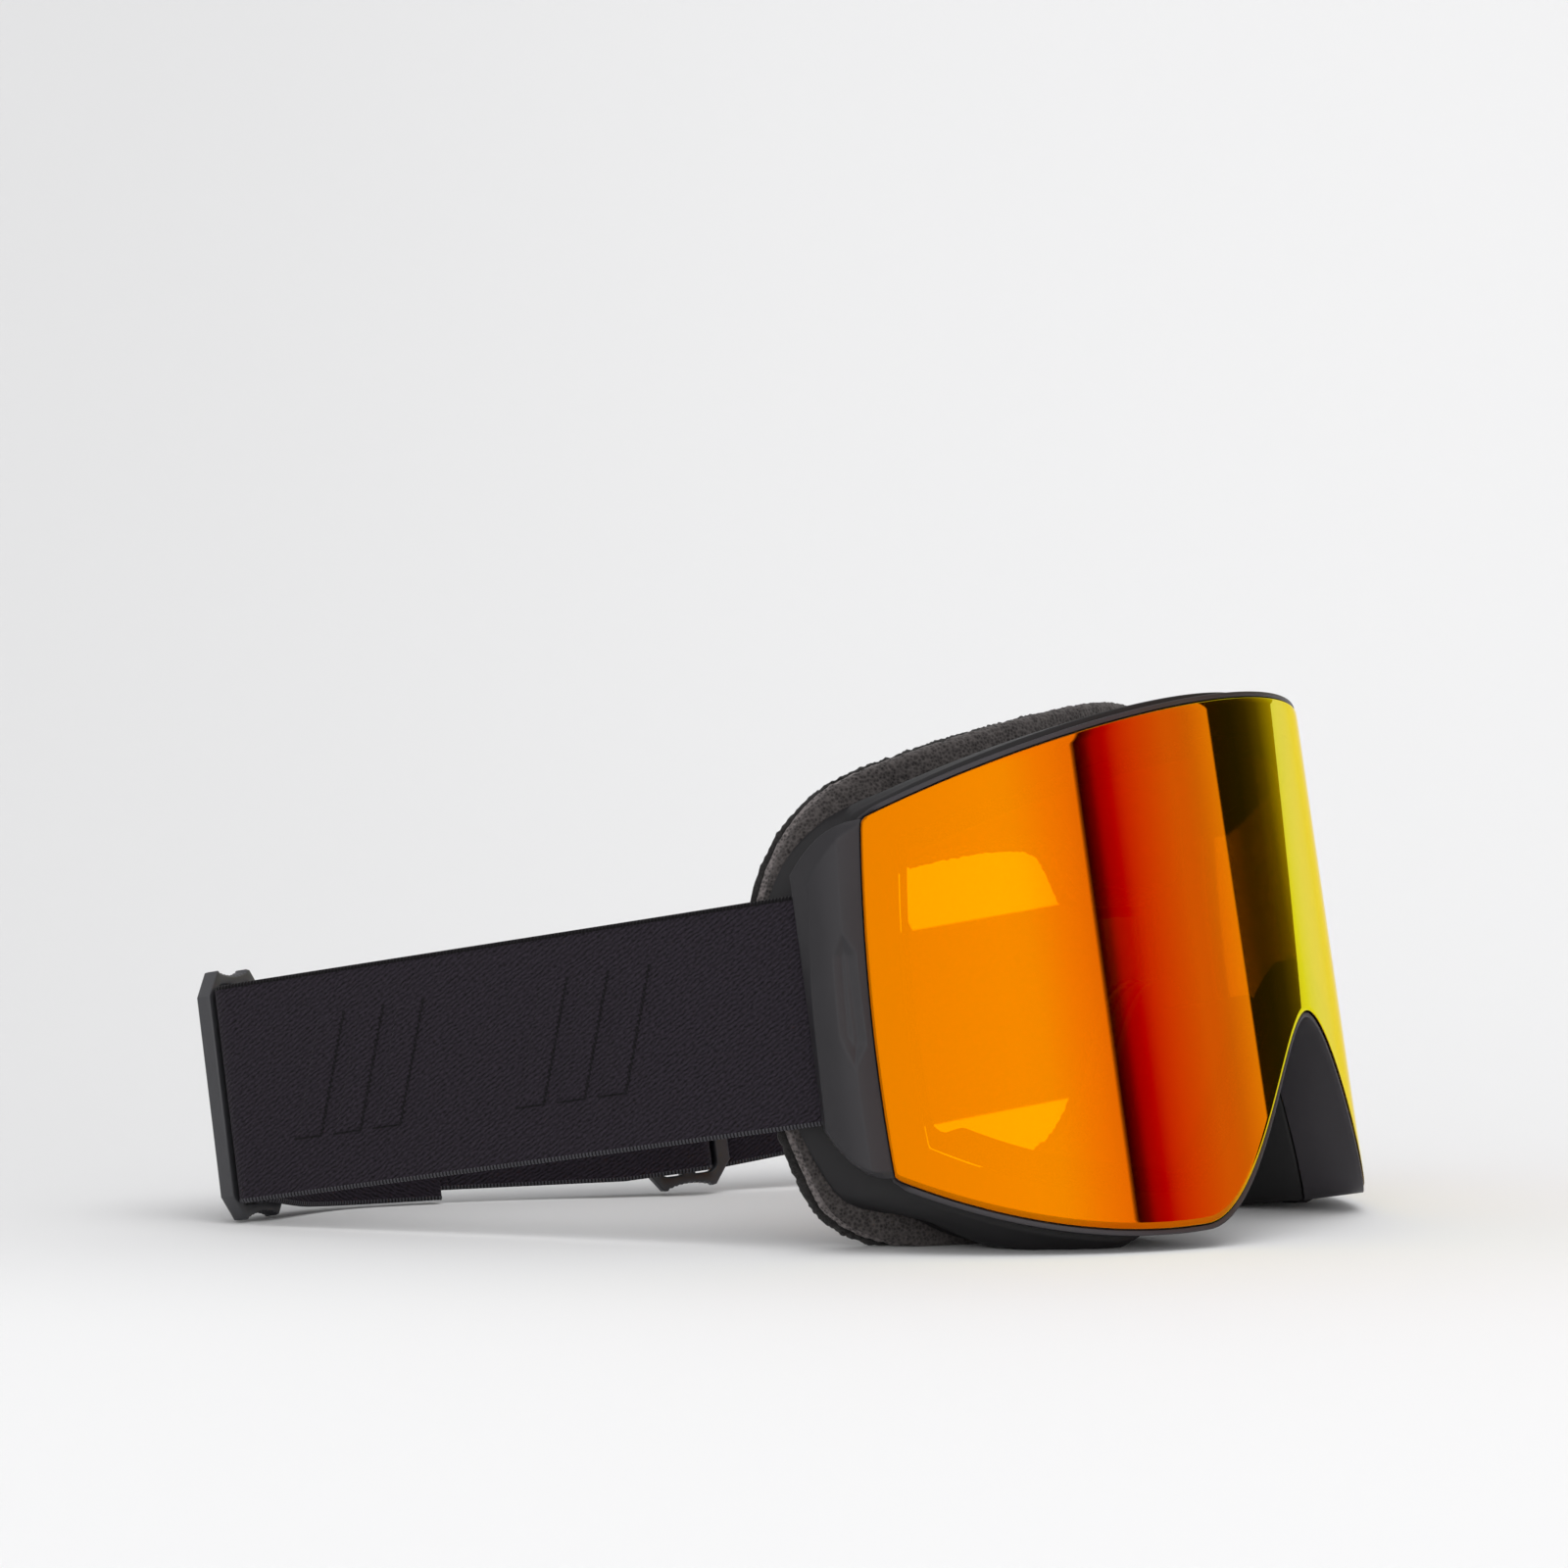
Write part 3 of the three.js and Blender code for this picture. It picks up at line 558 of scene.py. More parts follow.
def closed_loop(top, side, cheek, nose, corner=2):
    stretches = zip((top, side, cheek, nose), STRETCH_STEPS)
    half = np.concatenate([curve(np.arange(n * FINE) / (n * FINE)) for curve, n in stretches])
    end = nose(np.ones(1))
    half = np.concatenate([half, end])
    mirrored = half[1:-1][::-1] * (-1, 1)
    return soften(np.concatenate([half, mirrored]), corner)


def parabola(height, middle, span):
    return lambda s: height + (s - middle) ** 2 / span


lens_top = parabola(52, 0, -614)
lens_bottom = parabola(-51.3, 43, 223)
inner_top = parabola(44, 0, -614)
inner_bottom = parabola(-43.3, 44.5, 185)

LENS_EDGE = 101.8
LENS_FOOT = 104.4
INNER_EDGE = 94
INNER_FOOT = 96.3
LENS_LOOP = closed_loop(
    arch(0, LENS_EDGE, lens_top),
    bezier((LENS_EDGE, lens_top(LENS_EDGE)), (106.2, -1), (LENS_FOOT, lens_bottom(LENS_FOOT))),
    arch(LENS_FOOT, 42, lens_bottom),
    bezier((42, lens_bottom(42)), (27, -51.2), (12, -12.7), (0, -12.7)),
    corner=0.7,
)
INNER_LOOP = closed_loop(
    arch(0, INNER_EDGE, inner_top),
    bezier((INNER_EDGE, inner_top(INNER_EDGE)), (98.5, 0), (INNER_FOOT, inner_bottom(INNER_FOOT))),
    arch(INNER_FOOT, 44.5, inner_bottom),
    bezier((44.5, -43.3), (32, -42), (17, -4.6), (0, -4.6)),
    corner=0.7,
)
FOAM_OUTER = closed_loop(
    bezier((0, 56.2), (21.5, 56.1), (59, 49.3), (67.8, 43.2)),
    bezier((67.8, 43.2), (90, 29), (82, -24), (77.6, -38.4)),
    bezier((77.6, -38.4), (71.5, -51), (58, -50.5), (31, -50.5)),
    bezier((31, -50.5), (21, -44), (13, -10), (0, -10)),
    corner=3,
)
FOAM_INNER = closed_loop(
    bezier((0, 12), (44, 9), (-3, 34.5), (56, 25.5)),
    bezier((56, 25.5), (65, 23), (67.5, -16), (63.5, -27.5)),
    bezier((63.5, -27.5), (58, -35), (48, -37), (37.5, -33.5)),
    bezier((37.5, -33.5), (20, -28.5), (22, -1), (0, -1)),
    corner=3,
)

# How far each place round the loops is from the top centre, in outline steps.
from_top = np.minimum(np.arange(LOOP), LOOP - np.arange(LOOP)) / FINE
SIDE_START, CHEEK_START, NOSE_START = np.cumsum(STRETCH_STEPS)[:3]


def smooth(value, low, high):
    t = np.clip((value - low) / (high - low), 0, 1)
    return t * t * (3 - 2 * t)


nose_share = smooth(from_top, NOSE_START - 3, NOSE_START)
low_share = smooth(from_top, CHEEK_START - 4, CHEEK_START) * (1 - nose_share)
# The padding is thinner along the sides.
pad_share = 1 - 0.3 * smooth(from_top, 7, 12) * (1 - smooth(from_top, CHEEK_START, CHEEK_START + 4))
cheek_way = np.clip((from_top - CHEEK_START) / STRETCH_STEPS[2], 0, 1)
cheek_share = np.sin(np.pi * cheek_way ** 2)
side_share = smooth(from_top, SIDE_START - 0.6, SIDE_START)
side_share *= 1 - smooth(from_top, CHEEK_START, CHEEK_START + 0.6)


def mix(a, b, share):
    return a + (b - a) * share


def cylinder(s, z, depth):
    angle = s / LENS_RADIUS
    radius = LENS_RADIUS - depth
    return np.stack([radius * np.sin(angle), LENS_RADIUS - radius * np.cos(angle), z + 0 * s], axis=-1)


def above_table(points):
    points[..., 2] = np.maximum(points[..., 2], TABLE_AT_FRONT + TABLE_SLOPE * points[..., 1])
    return points


def at_lens(inset, depth):
    """Places round the lens border: inset in from the lens edge, depth in behind the front of the lens."""
    inset = np.broadcast_to(inset, LOOP)
    flat = LENS_LOOP + (INNER_LOOP - LENS_LOOP) * (inset / LENS_BORDER)[:, None]
    return above_table(cylinder(flat[:, 0], flat[:, 1], np.broadcast_to(depth, LOOP)))


def at_face(inset, lift):
    """Places round the foam: inset in from its outer edge, lift forward of the face."""
    inset = np.broadcast_to(inset, LOOP)
    flat = FOAM_OUTER + (FOAM_INNER - FOAM_OUTER) * (inset / FOAM_WIDTH)[:, None]
    thicker_fleece = 0.85 * low_share * lift * max(PAD_DEPTH - lift, 0) / PAD_DEPTH
    y = FACE_DEPTH + FACE_BOW * flat[:, 0] ** 2 - (lift + thicker_fleece) * pad_share
    return above_table(np.stack([flat[:, 0], y, flat[:, 1]], axis=1))


# ---- lens ----

CORNER_RADIUS = 0.9
INNER_LENS_THICKNESS = 1.0
CLEARANCE = 0.3


def pane(name, loop, top, foot_edge, depth, thickness, materials, columns=260, rows=56):
    """A curved pane: rows of points from its lower edge, which rises over the nose, up to its top edge."""
    first, last = int(CHEEK_START * FINE), int(LOOP - CHEEK_START * FINE)
    foot = loop[first:last + 1]
    ways = np.linspace(0, len(foot) - 1, columns)
    foot_s = np.interp(ways, np.arange(len(foot)), foot[:, 0])
    foot_z = np.interp(ways, np.arange(len(foot)), foot[:, 1])
    share = foot_s / foot_s[0]
    up = np.linspace(0, 1, rows)
    side = loop[int(SIDE_START * FINE):first + 1][::-1]
    side_up = (side[:, 1] - side[0, 1]) / (side[-1, 1] - side[0, 1])
    side_s = np.interp(up, side_up, side[:, 0])
    top_s = share * side_s[-1]
    past = np.clip(np.abs(foot_s) - (foot_edge - CORNER_RADIUS), 0, CORNER_RADIUS * 0.999)
    rounding = CORNER_RADIUS - np.sqrt(CORNER_RADIUS ** 2 - past ** 2)
    low = foot_z + rounding
    high = top(top_s) - rounding
    s = share[None, :] * side_s[:, None]
    z = low[None, :] + (high - low)[None, :] * up[:, None]
    front = cylinder(s, z, depth).reshape(-1, 3)
    back = cylinder(s, z, depth + thickness).reshape(-1, 3)
    points = np.concatenate([front, back])
    front_faces, other_faces = slab_faces(rows, columns)
    kinds = [0] * len(front_faces) + [1] * len(other_faces)
    pane_object = face_out(build(name, points, front_faces + other_faces, materials, kinds))
    return bevel(pane_object, 0.12, 2, 50)


def make_lens():
    outer = pane("lens_shell", LENS_LOOP, lens_top, LENS_FOOT, 0, LENS_THICKNESS, [mirror, clear])
    place(outer, LENS_BODY, "mirror_lens", "outer_lens")
    inner = pane(
        "inner_shell", INNER_LOOP, inner_top, INNER_FOOT, INNER_LENS_DEPTH, INNER_LENS_THICKNESS,
        [clear_inner, clear_inner], 130, 28,
    )
    place(inner, LENS_BODY, "clear_lens", "inner_lens")
    seat, back = LENS_THICKNESS + CLEARANCE, INNER_LENS_DEPTH - CLEARANCE
    low = smooth(from_top, CHEEK_START - 0.5, CHEEK_START + 0.5) * (1 - nose_share)
    inner_edge = mix(mix(10.6, 8.7, side_share), 12.8, low)
    outer_edge = SEAT_INNER + CLEARANCE
    corners = ((outer_edge, seat), (inner_edge, seat), (inner_edge, back), (outer_edge, back))
    gasket = ring("gasket_ring", [at_lens(*corner) for corner in corners], [gasket_foam])
    bevel(gasket, 0.4)
    place(gasket, LENS_BODY, "gasket", "lens_gasket")


# ---- front frame ----

SEAT_DEPTH = LENS_THICKNESS + CLEARANCE
SEAT_BACK = 6.3
LIP_IN = -0.3
POCKET_RADIUS = 3.2
POCKET_INSET = 3.4
POCKET_DEPTH = 4.9
POCKET_SIDES = 32
POCKET_STEPS = tuple(sign * step for step in (3, 7, CHEEK_START + 6) for sign in (1, -1))


def pocket(step):
    """A cutter for a magnet's round pocket, square to the lens."""
    k = int(step * FINE) % LOOP
    front, back = (at_lens(POCKET_INSET, depth)[k] for depth in (SEAT_DEPTH - 1, POCKET_DEPTH))
    axis = (back - front) / np.linalg.norm(back - front)
    across = np.cross(axis, (0, 0, 1))
    up = np.cross(across, axis)
    turns = np.arange(POCKET_SIDES) / POCKET_SIDES * 2 * np.pi
    circle = POCKET_RADIUS * (np.outer(np.cos(turns), across) + np.outer(np.sin(turns), up))
    return prism("pocket_cutter", front + circle, back + circle, front_plastic)


def make_front_frame():
    out = mix(-1.3, -0.8, side_share)
    front = mix(0.35, 1.9, side_share)
    back = mix(SEAT_BACK + 0.7, 13, nose_share)
    groove = mix(0.3, 0.2, side_share) * (1 - nose_share)
    groove_start, groove_end, wall_inner = 1.8, 4.2, 0.6
    corners = (
        (LIP_IN, front), (out, front), (out, front + 1.3),
        (out + groove, front + groove_start), (out + groove, front + groove_end),
        (out, 5.5), (out, back), (wall_inner, back), (wall_inner, SEAT_BACK),
        (SEAT_INNER, SEAT_BACK), (SEAT_INNER, SEAT_DEPTH), (LIP_IN, SEAT_DEPTH),
    )
    seat = ring("front_ring", [at_lens(*corner) for corner in corners], [front_plastic])
    bevel(seat, 0.18, 2, 28)
    subtract(seat, [pocket(step) for step in POCKET_STEPS])
    place(seat, ROOT, "rigid_plastic", "front_frame")


# ---- face frame ----

FLANGE_LIFT = 7.3
FLANGE_THICKNESS = 1.8
FLANGE_INNER = 11.5
VENT_SIDES = 24
VENT_WIDTH = 7
VENT_DEPTH = 3.2
VENT_REACH = 7
wall_front = mix(SEAT_BACK + 1, 13.3, nose_share)
wall_outer = mix(-2.4, 1.4, nose_share)
wall_bulge = mix(mix(0.9, 3.4, cheek_share), 0, nose_share)
# How far the flange sits inside the foam's outer edge, at steps from the top.
FLANGE_STEPS = (0, 10, 12, 13, 14, 15, 17, 19, 22, 26)
FLANGE_INSETS = (2.9, 3.0, 2.8, 0.5, -0.8, -0.4, -0.4, 1.2, 3.8, 0.3)
flange_inset = soften(np.interp(from_top, FLANGE_STEPS, FLANGE_INSETS), 5)
WALL_THICKNESS = 3.4


def at_wall(along, outset, inner=False):
    """Places along the wall, from the lens seat (0) to the foam flange (1), outset out of the plain wall."""
    lens_inset = wall_outer + (WALL_THICKNESS if inner else 0) - outset
    face_inset = flange_inset + (2.5 if inner else 0) - outset
    front = at_lens(lens_inset, wall_front)
    rear = at_face(face_inset, FLANGE_LIFT + FLANGE_THICKNESS)
    return above_table(front + (rear - front) * along)


def rounded_slot(middle_point, across):
    """A cutter with rounded ends for a vent, standing up through the wall."""
    angles = np.arange(VENT_SIDES) / VENT_SIDES * 2 * np.pi
    x = np.cos(angles) * VENT_DEPTH / 2 + np.sign(np.cos(angles)) * (VENT_WIDTH - VENT_DEPTH) / 2
    y = np.sin(angles) * VENT_DEPTH / 2
    tilt = math.atan2(across[2], across[0])
    turned_x, turned_z = x * math.cos(tilt), x * math.sin(tilt)
    shift_x, shift_z = VENT_REACH * math.sin(tilt), VENT_REACH * math.cos(tilt)
    low = np.stack([turned_x + shift_x, y, turned_z - shift_z], axis=1)
    high = np.stack([turned_x - shift_x, y, turned_z + shift_z], axis=1)
    return prism("vent_cutter", low + middle_point, high + middle_point, shell_rubber)


def vent_cutters():
    cutters = []
    wall = at_wall(0.45, 0)
    for step in (CHEEK_START + 9, -CHEEK_START - 9):
        k = int(step * FINE)
        across = wall[(k + FINE) % LOOP] - wall[(k - FINE) % LOOP]
        cutters.append(rounded_slot(wall[k % LOOP], across))
    return cutters


def make_face_frame():
    ways = np.array([0, 0.05, 0.14, 0.26, 0.38, 0.52, 0.68, 0.84, 0.95])
    swell = np.interp(ways, [0, 0.3, 1], [0, 1, 0])
    swell = np.sin(swell * np.pi / 2) ** 1.2
    outer = [at_wall(way, wall_bulge * bulge) for way, bulge in zip(ways, swell)]
    lift = FLANGE_LIFT + FLANGE_THICKNESS
    edge = flange_inset
    corners = ((edge, lift), (edge, FLANGE_LIFT), (FLANGE_INNER, FLANGE_LIFT), (FLANGE_INNER, lift))
    flange = [at_face(*corner) for corner in corners]
    inner = [at_wall(way, 0, True) for way in (1, 0.7, 0.35, 0)]
    shell = ring("face_shell", outer + flange + inner, [shell_rubber])
    bevel(shell, 0.35, 2, 38)
    subtract(shell, vent_cutters())
    shell.data.polygons.foreach_set("use_smooth", np.full(len(shell.data.polygons), True))
    place(shell, ROOT, "soft_frame", "face_frame")


def vent_pad(name, first, last, node):
    ways = (0.15, 0.4, 0.6, 0.8)
    span = slice(first * FINE + LOOP // 2, last * FINE + LOOP // 2 + 1)

    def piece(line):
        return np.roll(line, LOOP // 2, axis=0)[span]
    section = [piece(at_wall(way, -0.6, True)) for way in ways]
    section += [piece(at_wall(way, -2, True)) for way in reversed(ways)]
    place(run(name, section, [filter_foam]), ROOT, "foam", node)


# ---- padding ----

PUFF = 0.45


def pad_ring(name, front_lift, back_lift, widths, materials, samples=860, around=58):
    """A closed foam ring with rounded, slightly swollen sides."""
    middle_lift = (front_lift + back_lift) / 2
    corners = np.array([
        (0.1, front_lift), (-0.25, middle_lift), (0.1, back_lift), (widths[1] - 0.1, back_lift),
        (sum(widths) / 2 + 0.25, middle_lift), (widths[0] - 0.1, front_lift),
    ])
    closed = np.vstack([corners, corners[:1]])
    lengths = path_lengths(closed)
    ways = np.linspace(0, lengths[-1], around, endpoint=False)
    section = np.stack([np.interp(ways, lengths, closed[:, k]) for k in (0, 1)], axis=1)
    section = soften(section, 0.7)
    lines = [at_face(inset, lift) for inset, lift in section]
    stacked = np.stack(lines, axis=1)
    ways = np.linspace(0, LOOP, samples, endpoint=False)
    low = np.floor(ways).astype(int)
    part = (ways - low)[:, None, None]
    points = stacked[low % LOOP] * (1 - part) + stacked[(low + 1) % LOOP] * part
    faces = grid_faces(samples, around, True, True)
    return face_out(build(name, points.reshape(-1, 3), faces, materials))


def puff(obj, frames=14, pressure=1.6):
    """Blows a closed pad up a little as cloth, then caps how far each point went."""
    before = vertices_of(obj)
    modifier = obj.modifiers.new("cloth", "CLOTH")
    settings = modifier.settings
    settings.quality = 5
    settings.mass = 0.2
    settings.use_pressure = True
    settings.uniform_pressure_force = pressure
    settings.effector_weights.gravity = 0
    modifier.point_cache.frame_start = 1
    modifier.point_cache.frame_end = frames
    scene = bpy.context.scene
    for step in range(1, frames + 1):
        scene.frame_set(step)
    graph = bpy.context.evaluated_depsgraph_get()
    after = np.zeros(len(before) * 3)
    obj.evaluated_get(graph).data.vertices.foreach_get("co", after)
    obj.modifiers.clear()
    scene.frame_set(1)
    moved = after.reshape(-1, 3) - before
    far = np.linalg.norm(moved, axis=1)
    cap = PUFF * MM
    moved *= (np.minimum(far, cap) / np.maximum(far, 1e-9))[:, None]
    set_vertices(obj, before + moved)
    return obj


def make_padding():
    base = pad_ring("pad_base", PAD_DEPTH, 4.0, (11.6, 12), [base_foam], 1000, 52)
    roughen_surface(base, (1.4, 0.16), (0.8, 0.2))
    place(base, ROOT, "foam", "foam_base_layer")
    soft = pad_ring("pad_soft", 3.75, 1.35, (12.1, 12.6), [soft_foam], 420, 26)
    puff(soft)
    finer = soft.modifiers.new("finer", "SUBSURF")
    finer.levels = 1
    use_modifiers(soft)
    roughen_surface(soft, (1.6, 0.2), (0.9, 0.25))
    place(soft, ROOT, "foam", "foam_soft_layer")
    skin = pad_ring("pad_fleece", 1.3, 0.0, (12.7, 13), [fleece_grey], 1100, 60)
    roughen_surface(skin, (2.0, 0.15), (1.0, 0.3), (0.7, 0.3))
    place(skin, ROOT, "fleece", "face_fleece")


def make_nose_flap():
    first, last = int(NOSE_START * FINE), int(LOOP - NOSE_START * FINE)
    out = mix(-1.2, -0.8, side_share)

    def line(along, shift, sag=0.0):
        front = at_lens(out + shift, 13.3)
        rear = at_face(-1.7 + shift, 6)
        points = front + (rear - front) * along
        points[:, 2] += sag
        return above_table(points)[first:last + 1]
    ways = (0, 0.04, 0.3, 0.6, 0.9, 1)
    section = [line(way, 0.35 if way in (0, 1) else 0) for way in ways]
    section += [line(way, 0.75 if way in (0, 1) else 1.1) for way in reversed(ways)]
    flap = run("nose_flap_skin", section, [flap_rubber])
    bevel(flap, 0.2, 2, 40)
    place(flap, ROOT, "flap_rubber", "nose_flap")


# ---- side covers ----

COVER_REAR = (85.8, 66.9, 26.3, -23.2)
COVER_THICKNESS = 0.9
COVER_BULGE = 1.3
COVER_WIDTH = 13.1
CREST = 1.0
STRIP_CREASE = 0.3
STRIP_DROP = 1.35
RIM_DROP = 1.5
# The finger notch: shares across the cover from the lens edge, and heights.
NOTCH = ((0.31, 13.8), (0.47, 9.6), (0.5, -6), (0.31, -12.6), (0.1, -8), (0.13, 9.6))
NOTCH_DEPTH = 0.85
NOTCH_SLOPE = 0.5
LUG_HALF = (2.6, 2.6, 0.95)
LUG_GAP = 1.7
LUG_OUT = 1.2


def notch_depth(across, z):
    """How deep the notch is at each place: flat in the middle, with sloping sides."""
    corners = np.array([(a * COVER_WIDTH, h) for a, h in NOTCH])
    inside = np.full(np.shape(across), 1e9)
    for k in range(len(corners)):
        start, end = corners[k], corners[(k + 1) % len(corners)]
        along = (end - start) / np.linalg.norm(end - start)
        gap = along[0] * (z - start[1]) - along[1] * (across * COVER_WIDTH - start[0])
        inside = np.minimum(inside, -gap)
    return np.clip(inside * NOTCH_SLOPE, 0, NOTCH_DEPTH)


def facets(across, z, top, bottom):
    """Height of the cover's facets over its plain curve: a strip by the lens, a rim and the notch."""
    strip = np.clip((STRIP_CREASE - across) / STRIP_CREASE, 0, 1)
    from_rear = (1 - across) * COVER_WIDTH / np.interp(z, (-22, 0, 20), (0.9, 1.5, 3.2))
    from_top = (top - z) / np.interp(across, (0, 0.3, 0.9), (0.6, 2.8, 7))
    from_bottom = (z - bottom) / 1.0
    rim = np.clip(1 - np.minimum(np.minimum(from_rear, from_top), from_bottom), 0, 1)
    lift = CREST - STRIP_DROP * strip - np.maximum(RIM_DROP * rim, notch_depth(across, z))
    return np.maximum(lift, 0.35 - COVER_THICKNESS)


def make_lug(side, end, name):
    """A small block that carries one end of the strap bar."""
    lug_z = end * (STRAP_WIDTH / 2 + LUG_GAP + LUG_HALF[2])
    signs = (-1, 1)
    centre = np.array((side * (BAR_X + LUG_OUT), BAR_Y, lug_z))
    points = [centre + np.multiply(LUG_HALF, (a, b, c)) for a in signs for b in signs for c in signs]
    faces = [(0, 1, 3, 2), (4, 6, 7, 5), (0, 4, 5, 1), (2, 3, 7, 6), (0, 2, 6, 4), (1, 5, 7, 3)]
    lug = face_out(build(name, points, faces, [cover_plastic]))
    bevel(lug, 0.6, 3)
    place(lug, ROOT, "cover")


def make_cover(side, label):
    rows, columns = 120, 70
    start, end = int(SIDE_START * FINE), int(CHEEK_START * FINE)
    front_line = at_lens(-0.04, 0)[start:end + 1]
    down = np.linspace(0, 1, rows)
    ways = down * (end - start)
    places = np.arange(end - start + 1)
    front = np.stack([np.interp(ways, places, front_line[:, k]) for k in range(3)], axis=1)
    x, y, top, bottom = COVER_REAR
    rear = np.stack([np.full(rows, x), np.full(rows, y), top + (bottom - top) * down], axis=1)
    out = np.stack([rear[:, 1] - front[:, 1], front[:, 0] - rear[:, 0], np.zeros(rows)], axis=1)
    out /= np.linalg.norm(out, axis=1)[:, None]
    across = np.linspace(0, 1, columns)
    outer = front[:, None, :] + (rear - front)[:, None, :] * across[None, :, None]
    outer[..., 2] = front[:, None, 2] + (rear[:, 2] - front[:, 2])[:, None] * across[None, :] ** 2.2
    plain = COVER_BULGE * np.sin(np.pi * across)[None, :]
    inner = outer + out[:, None, :] * (plain - COVER_THICKNESS)[..., None]
    height = outer[..., 2]
    lifted = plain + facets(np.broadcast_to(across, (rows, columns)), height, height[:1], height[-1:])
    outer = outer + out[:, None, :] * lifted[..., None]
    points = np.concatenate([outer.reshape(-1, 3), inner.reshape(-1, 3)]) * (side, 1, 1)
    front_faces, other_faces = slab_faces(rows, columns)
    shell = face_out(build("cover_" + label, points, front_faces + other_faces, [cover_plastic]))
    bevel(shell, 0.1, 2, 50)
    place(shell, ROOT, "cover", "side_cover_" + label)
    make_lug(side, 1, "cover_lug_upper_" + label)
    make_lug(side, -1, "cover_lug_lower_" + label)


# ---- strap ----

LAYER = 1.8
UNDER_BAR = SLIDER_THICKNESS / 2 + 0.3 + 0.75
BAR_LOOP = 2.05


class Plan:
    """A flat frame seen from above: u along the strap, w to its left."""

    def __init__(self, x, y, heading, height=0.0):
        self.origin = np.array([x, y], float)
        self.heading = math.radians(heading)
        self.along = np.array([math.cos(self.heading), math.sin(self.heading)])
        self.across = np.array([-self.along[1], self.along[0]])
        self.height = height

    def at(self, u, w):
        return self.origin + self.along * u + self.across * w


RIGHT_SLIDER = Plan(-94.5, 200.2, 5, -0.4)
LEFT_SLIDER = Plan(-6.3, 149.5, 141, -7.3)
RIGHT_BAR = Plan(-BAR_X, BAR_Y, 96)
LEFT_BAR = Plan(BAR_X, BAR_Y, 82)

THREADED = (
    (-6.4, -UNDER_BAR - 0.05), (-4.9, -1.1), (-4.75, 2), (-3.5, UNDER_BAR + LAYER),
    (3.2, UNDER_BAR + LAYER), (7.4, UNDER_BAR + 0.5),
)
FOLDED = (
    (4.2, -UNDER_BAR), (2.65, -1.6), (2.65, 1.75), (1.7, UNDER_BAR), (-1.7, UNDER_BAR), (-2.65, 1.75),
    (-2.65, -2.6), (-1.6, -UNDER_BAR - 0.7 * LAYER), (0.5, -UNDER_BAR - LAYER), (6, -UNDER_BAR - LAYER),
)
SHARED_STEPS = 40
CLOSING_STEPS = 12
TAIL_STEPS = 14
INNER_TAIL_STEPS = 20
FOLD_LENGTH = 14
SIDE_STEPS = 60
RIGHT_PULL = 40
LEFT_PULL = 36
JOIN_PULL = 22
SHARED_PULL = 26
# How far along the weave the rear straps start, and go on half way round.
REAR_START = 150
REAR_MIDDLE = 240
MOTIF_STARTS = (60, 110)
MOTIF_BARS = 3
MOTIF_PITCH = 9
MOTIF_SLANT = 0.35
MOTIF_MIDDLE = 1
MOTIF_HALF_WIDTH = 3
MOTIF_HALF_HEIGHT = 12
MOTIF_RAISE = 0.45


def free_run(start, start_pull, end, end_pull, steps):
    return bezier(start, start + start_pull, end + end_pull, end)(np.linspace(0, 1, steps + 1))


def left_of(path):
    """Unit vectors to the left of a path, at each of its points."""
    along = np.gradient(path, axis=0)
    along /= np.linalg.norm(along, axis=1)[:, None]
    return np.stack([-along[:, 1], along[:, 0]], axis=1)


def beside(path, offsets):
    return path + left_of(path) * offsets[:, None]


def on(plan, path):
    return np.array([plan.at(u, w) for u, w in path])


def bar_loop(plan, side):
    tail_offset = BAR_LOOP - LAYER
    tail = [(8, tail_offset), (5, tail_offset), (2.6, -1.2), (1, -BAR_LOOP)]
    turn = [-math.pi / 2 - n * math.pi / 6 for n in range(1, 6)]
    turn = [(BAR_LOOP * math.cos(a), BAR_LOOP * math.sin(a)) for a in turn]
    back = [(1.2, BAR_LOOP), (8, BAR_LOOP)]
    return on(plan, [(u, side * w) for u, w in tail + turn + back])


def rounded(path, pitch):
    """Cuts a path's corners, then spaces its points evenly."""
    path = np.asarray(path, float)
    for _ in range(3):
        cut = np.empty((2 * len(path) - 2, 2))
        cut[0::2] = 0.75 * path[:-1] + 0.25 * path[1:]
        cut[1::2] = 0.25 * path[:-1] + 0.75 * path[1:]
        path = np.vstack([path[:1], cut, path[-1:]])
    lengths = path_lengths(path)
    ways = np.linspace(0, lengths[-1], max(int(lengths[-1] / pitch), 8) + 1)
    return np.stack([np.interp(ways, lengths, path[:, k]) for k in (0, 1)], axis=1)


def motif(along, across):
    """Two groups of slanted raised bars: how far inside a bar each place is, and less than 0 outside."""
    inside = np.full(np.broadcast(along, across).shape, -99.0)
    for start in MOTIF_STARTS:
        for n in range(MOTIF_BARS):
            slant = along - (start + n * MOTIF_PITCH) + (across - MOTIF_MIDDLE) * MOTIF_SLANT
            height_left = MOTIF_HALF_HEIGHT - np.abs(across - MOTIF_MIDDLE)
            bar = np.minimum(MOTIF_HALF_WIDTH - np.abs(slant), height_left)
            inside = np.maximum(inside, bar)
    return inside


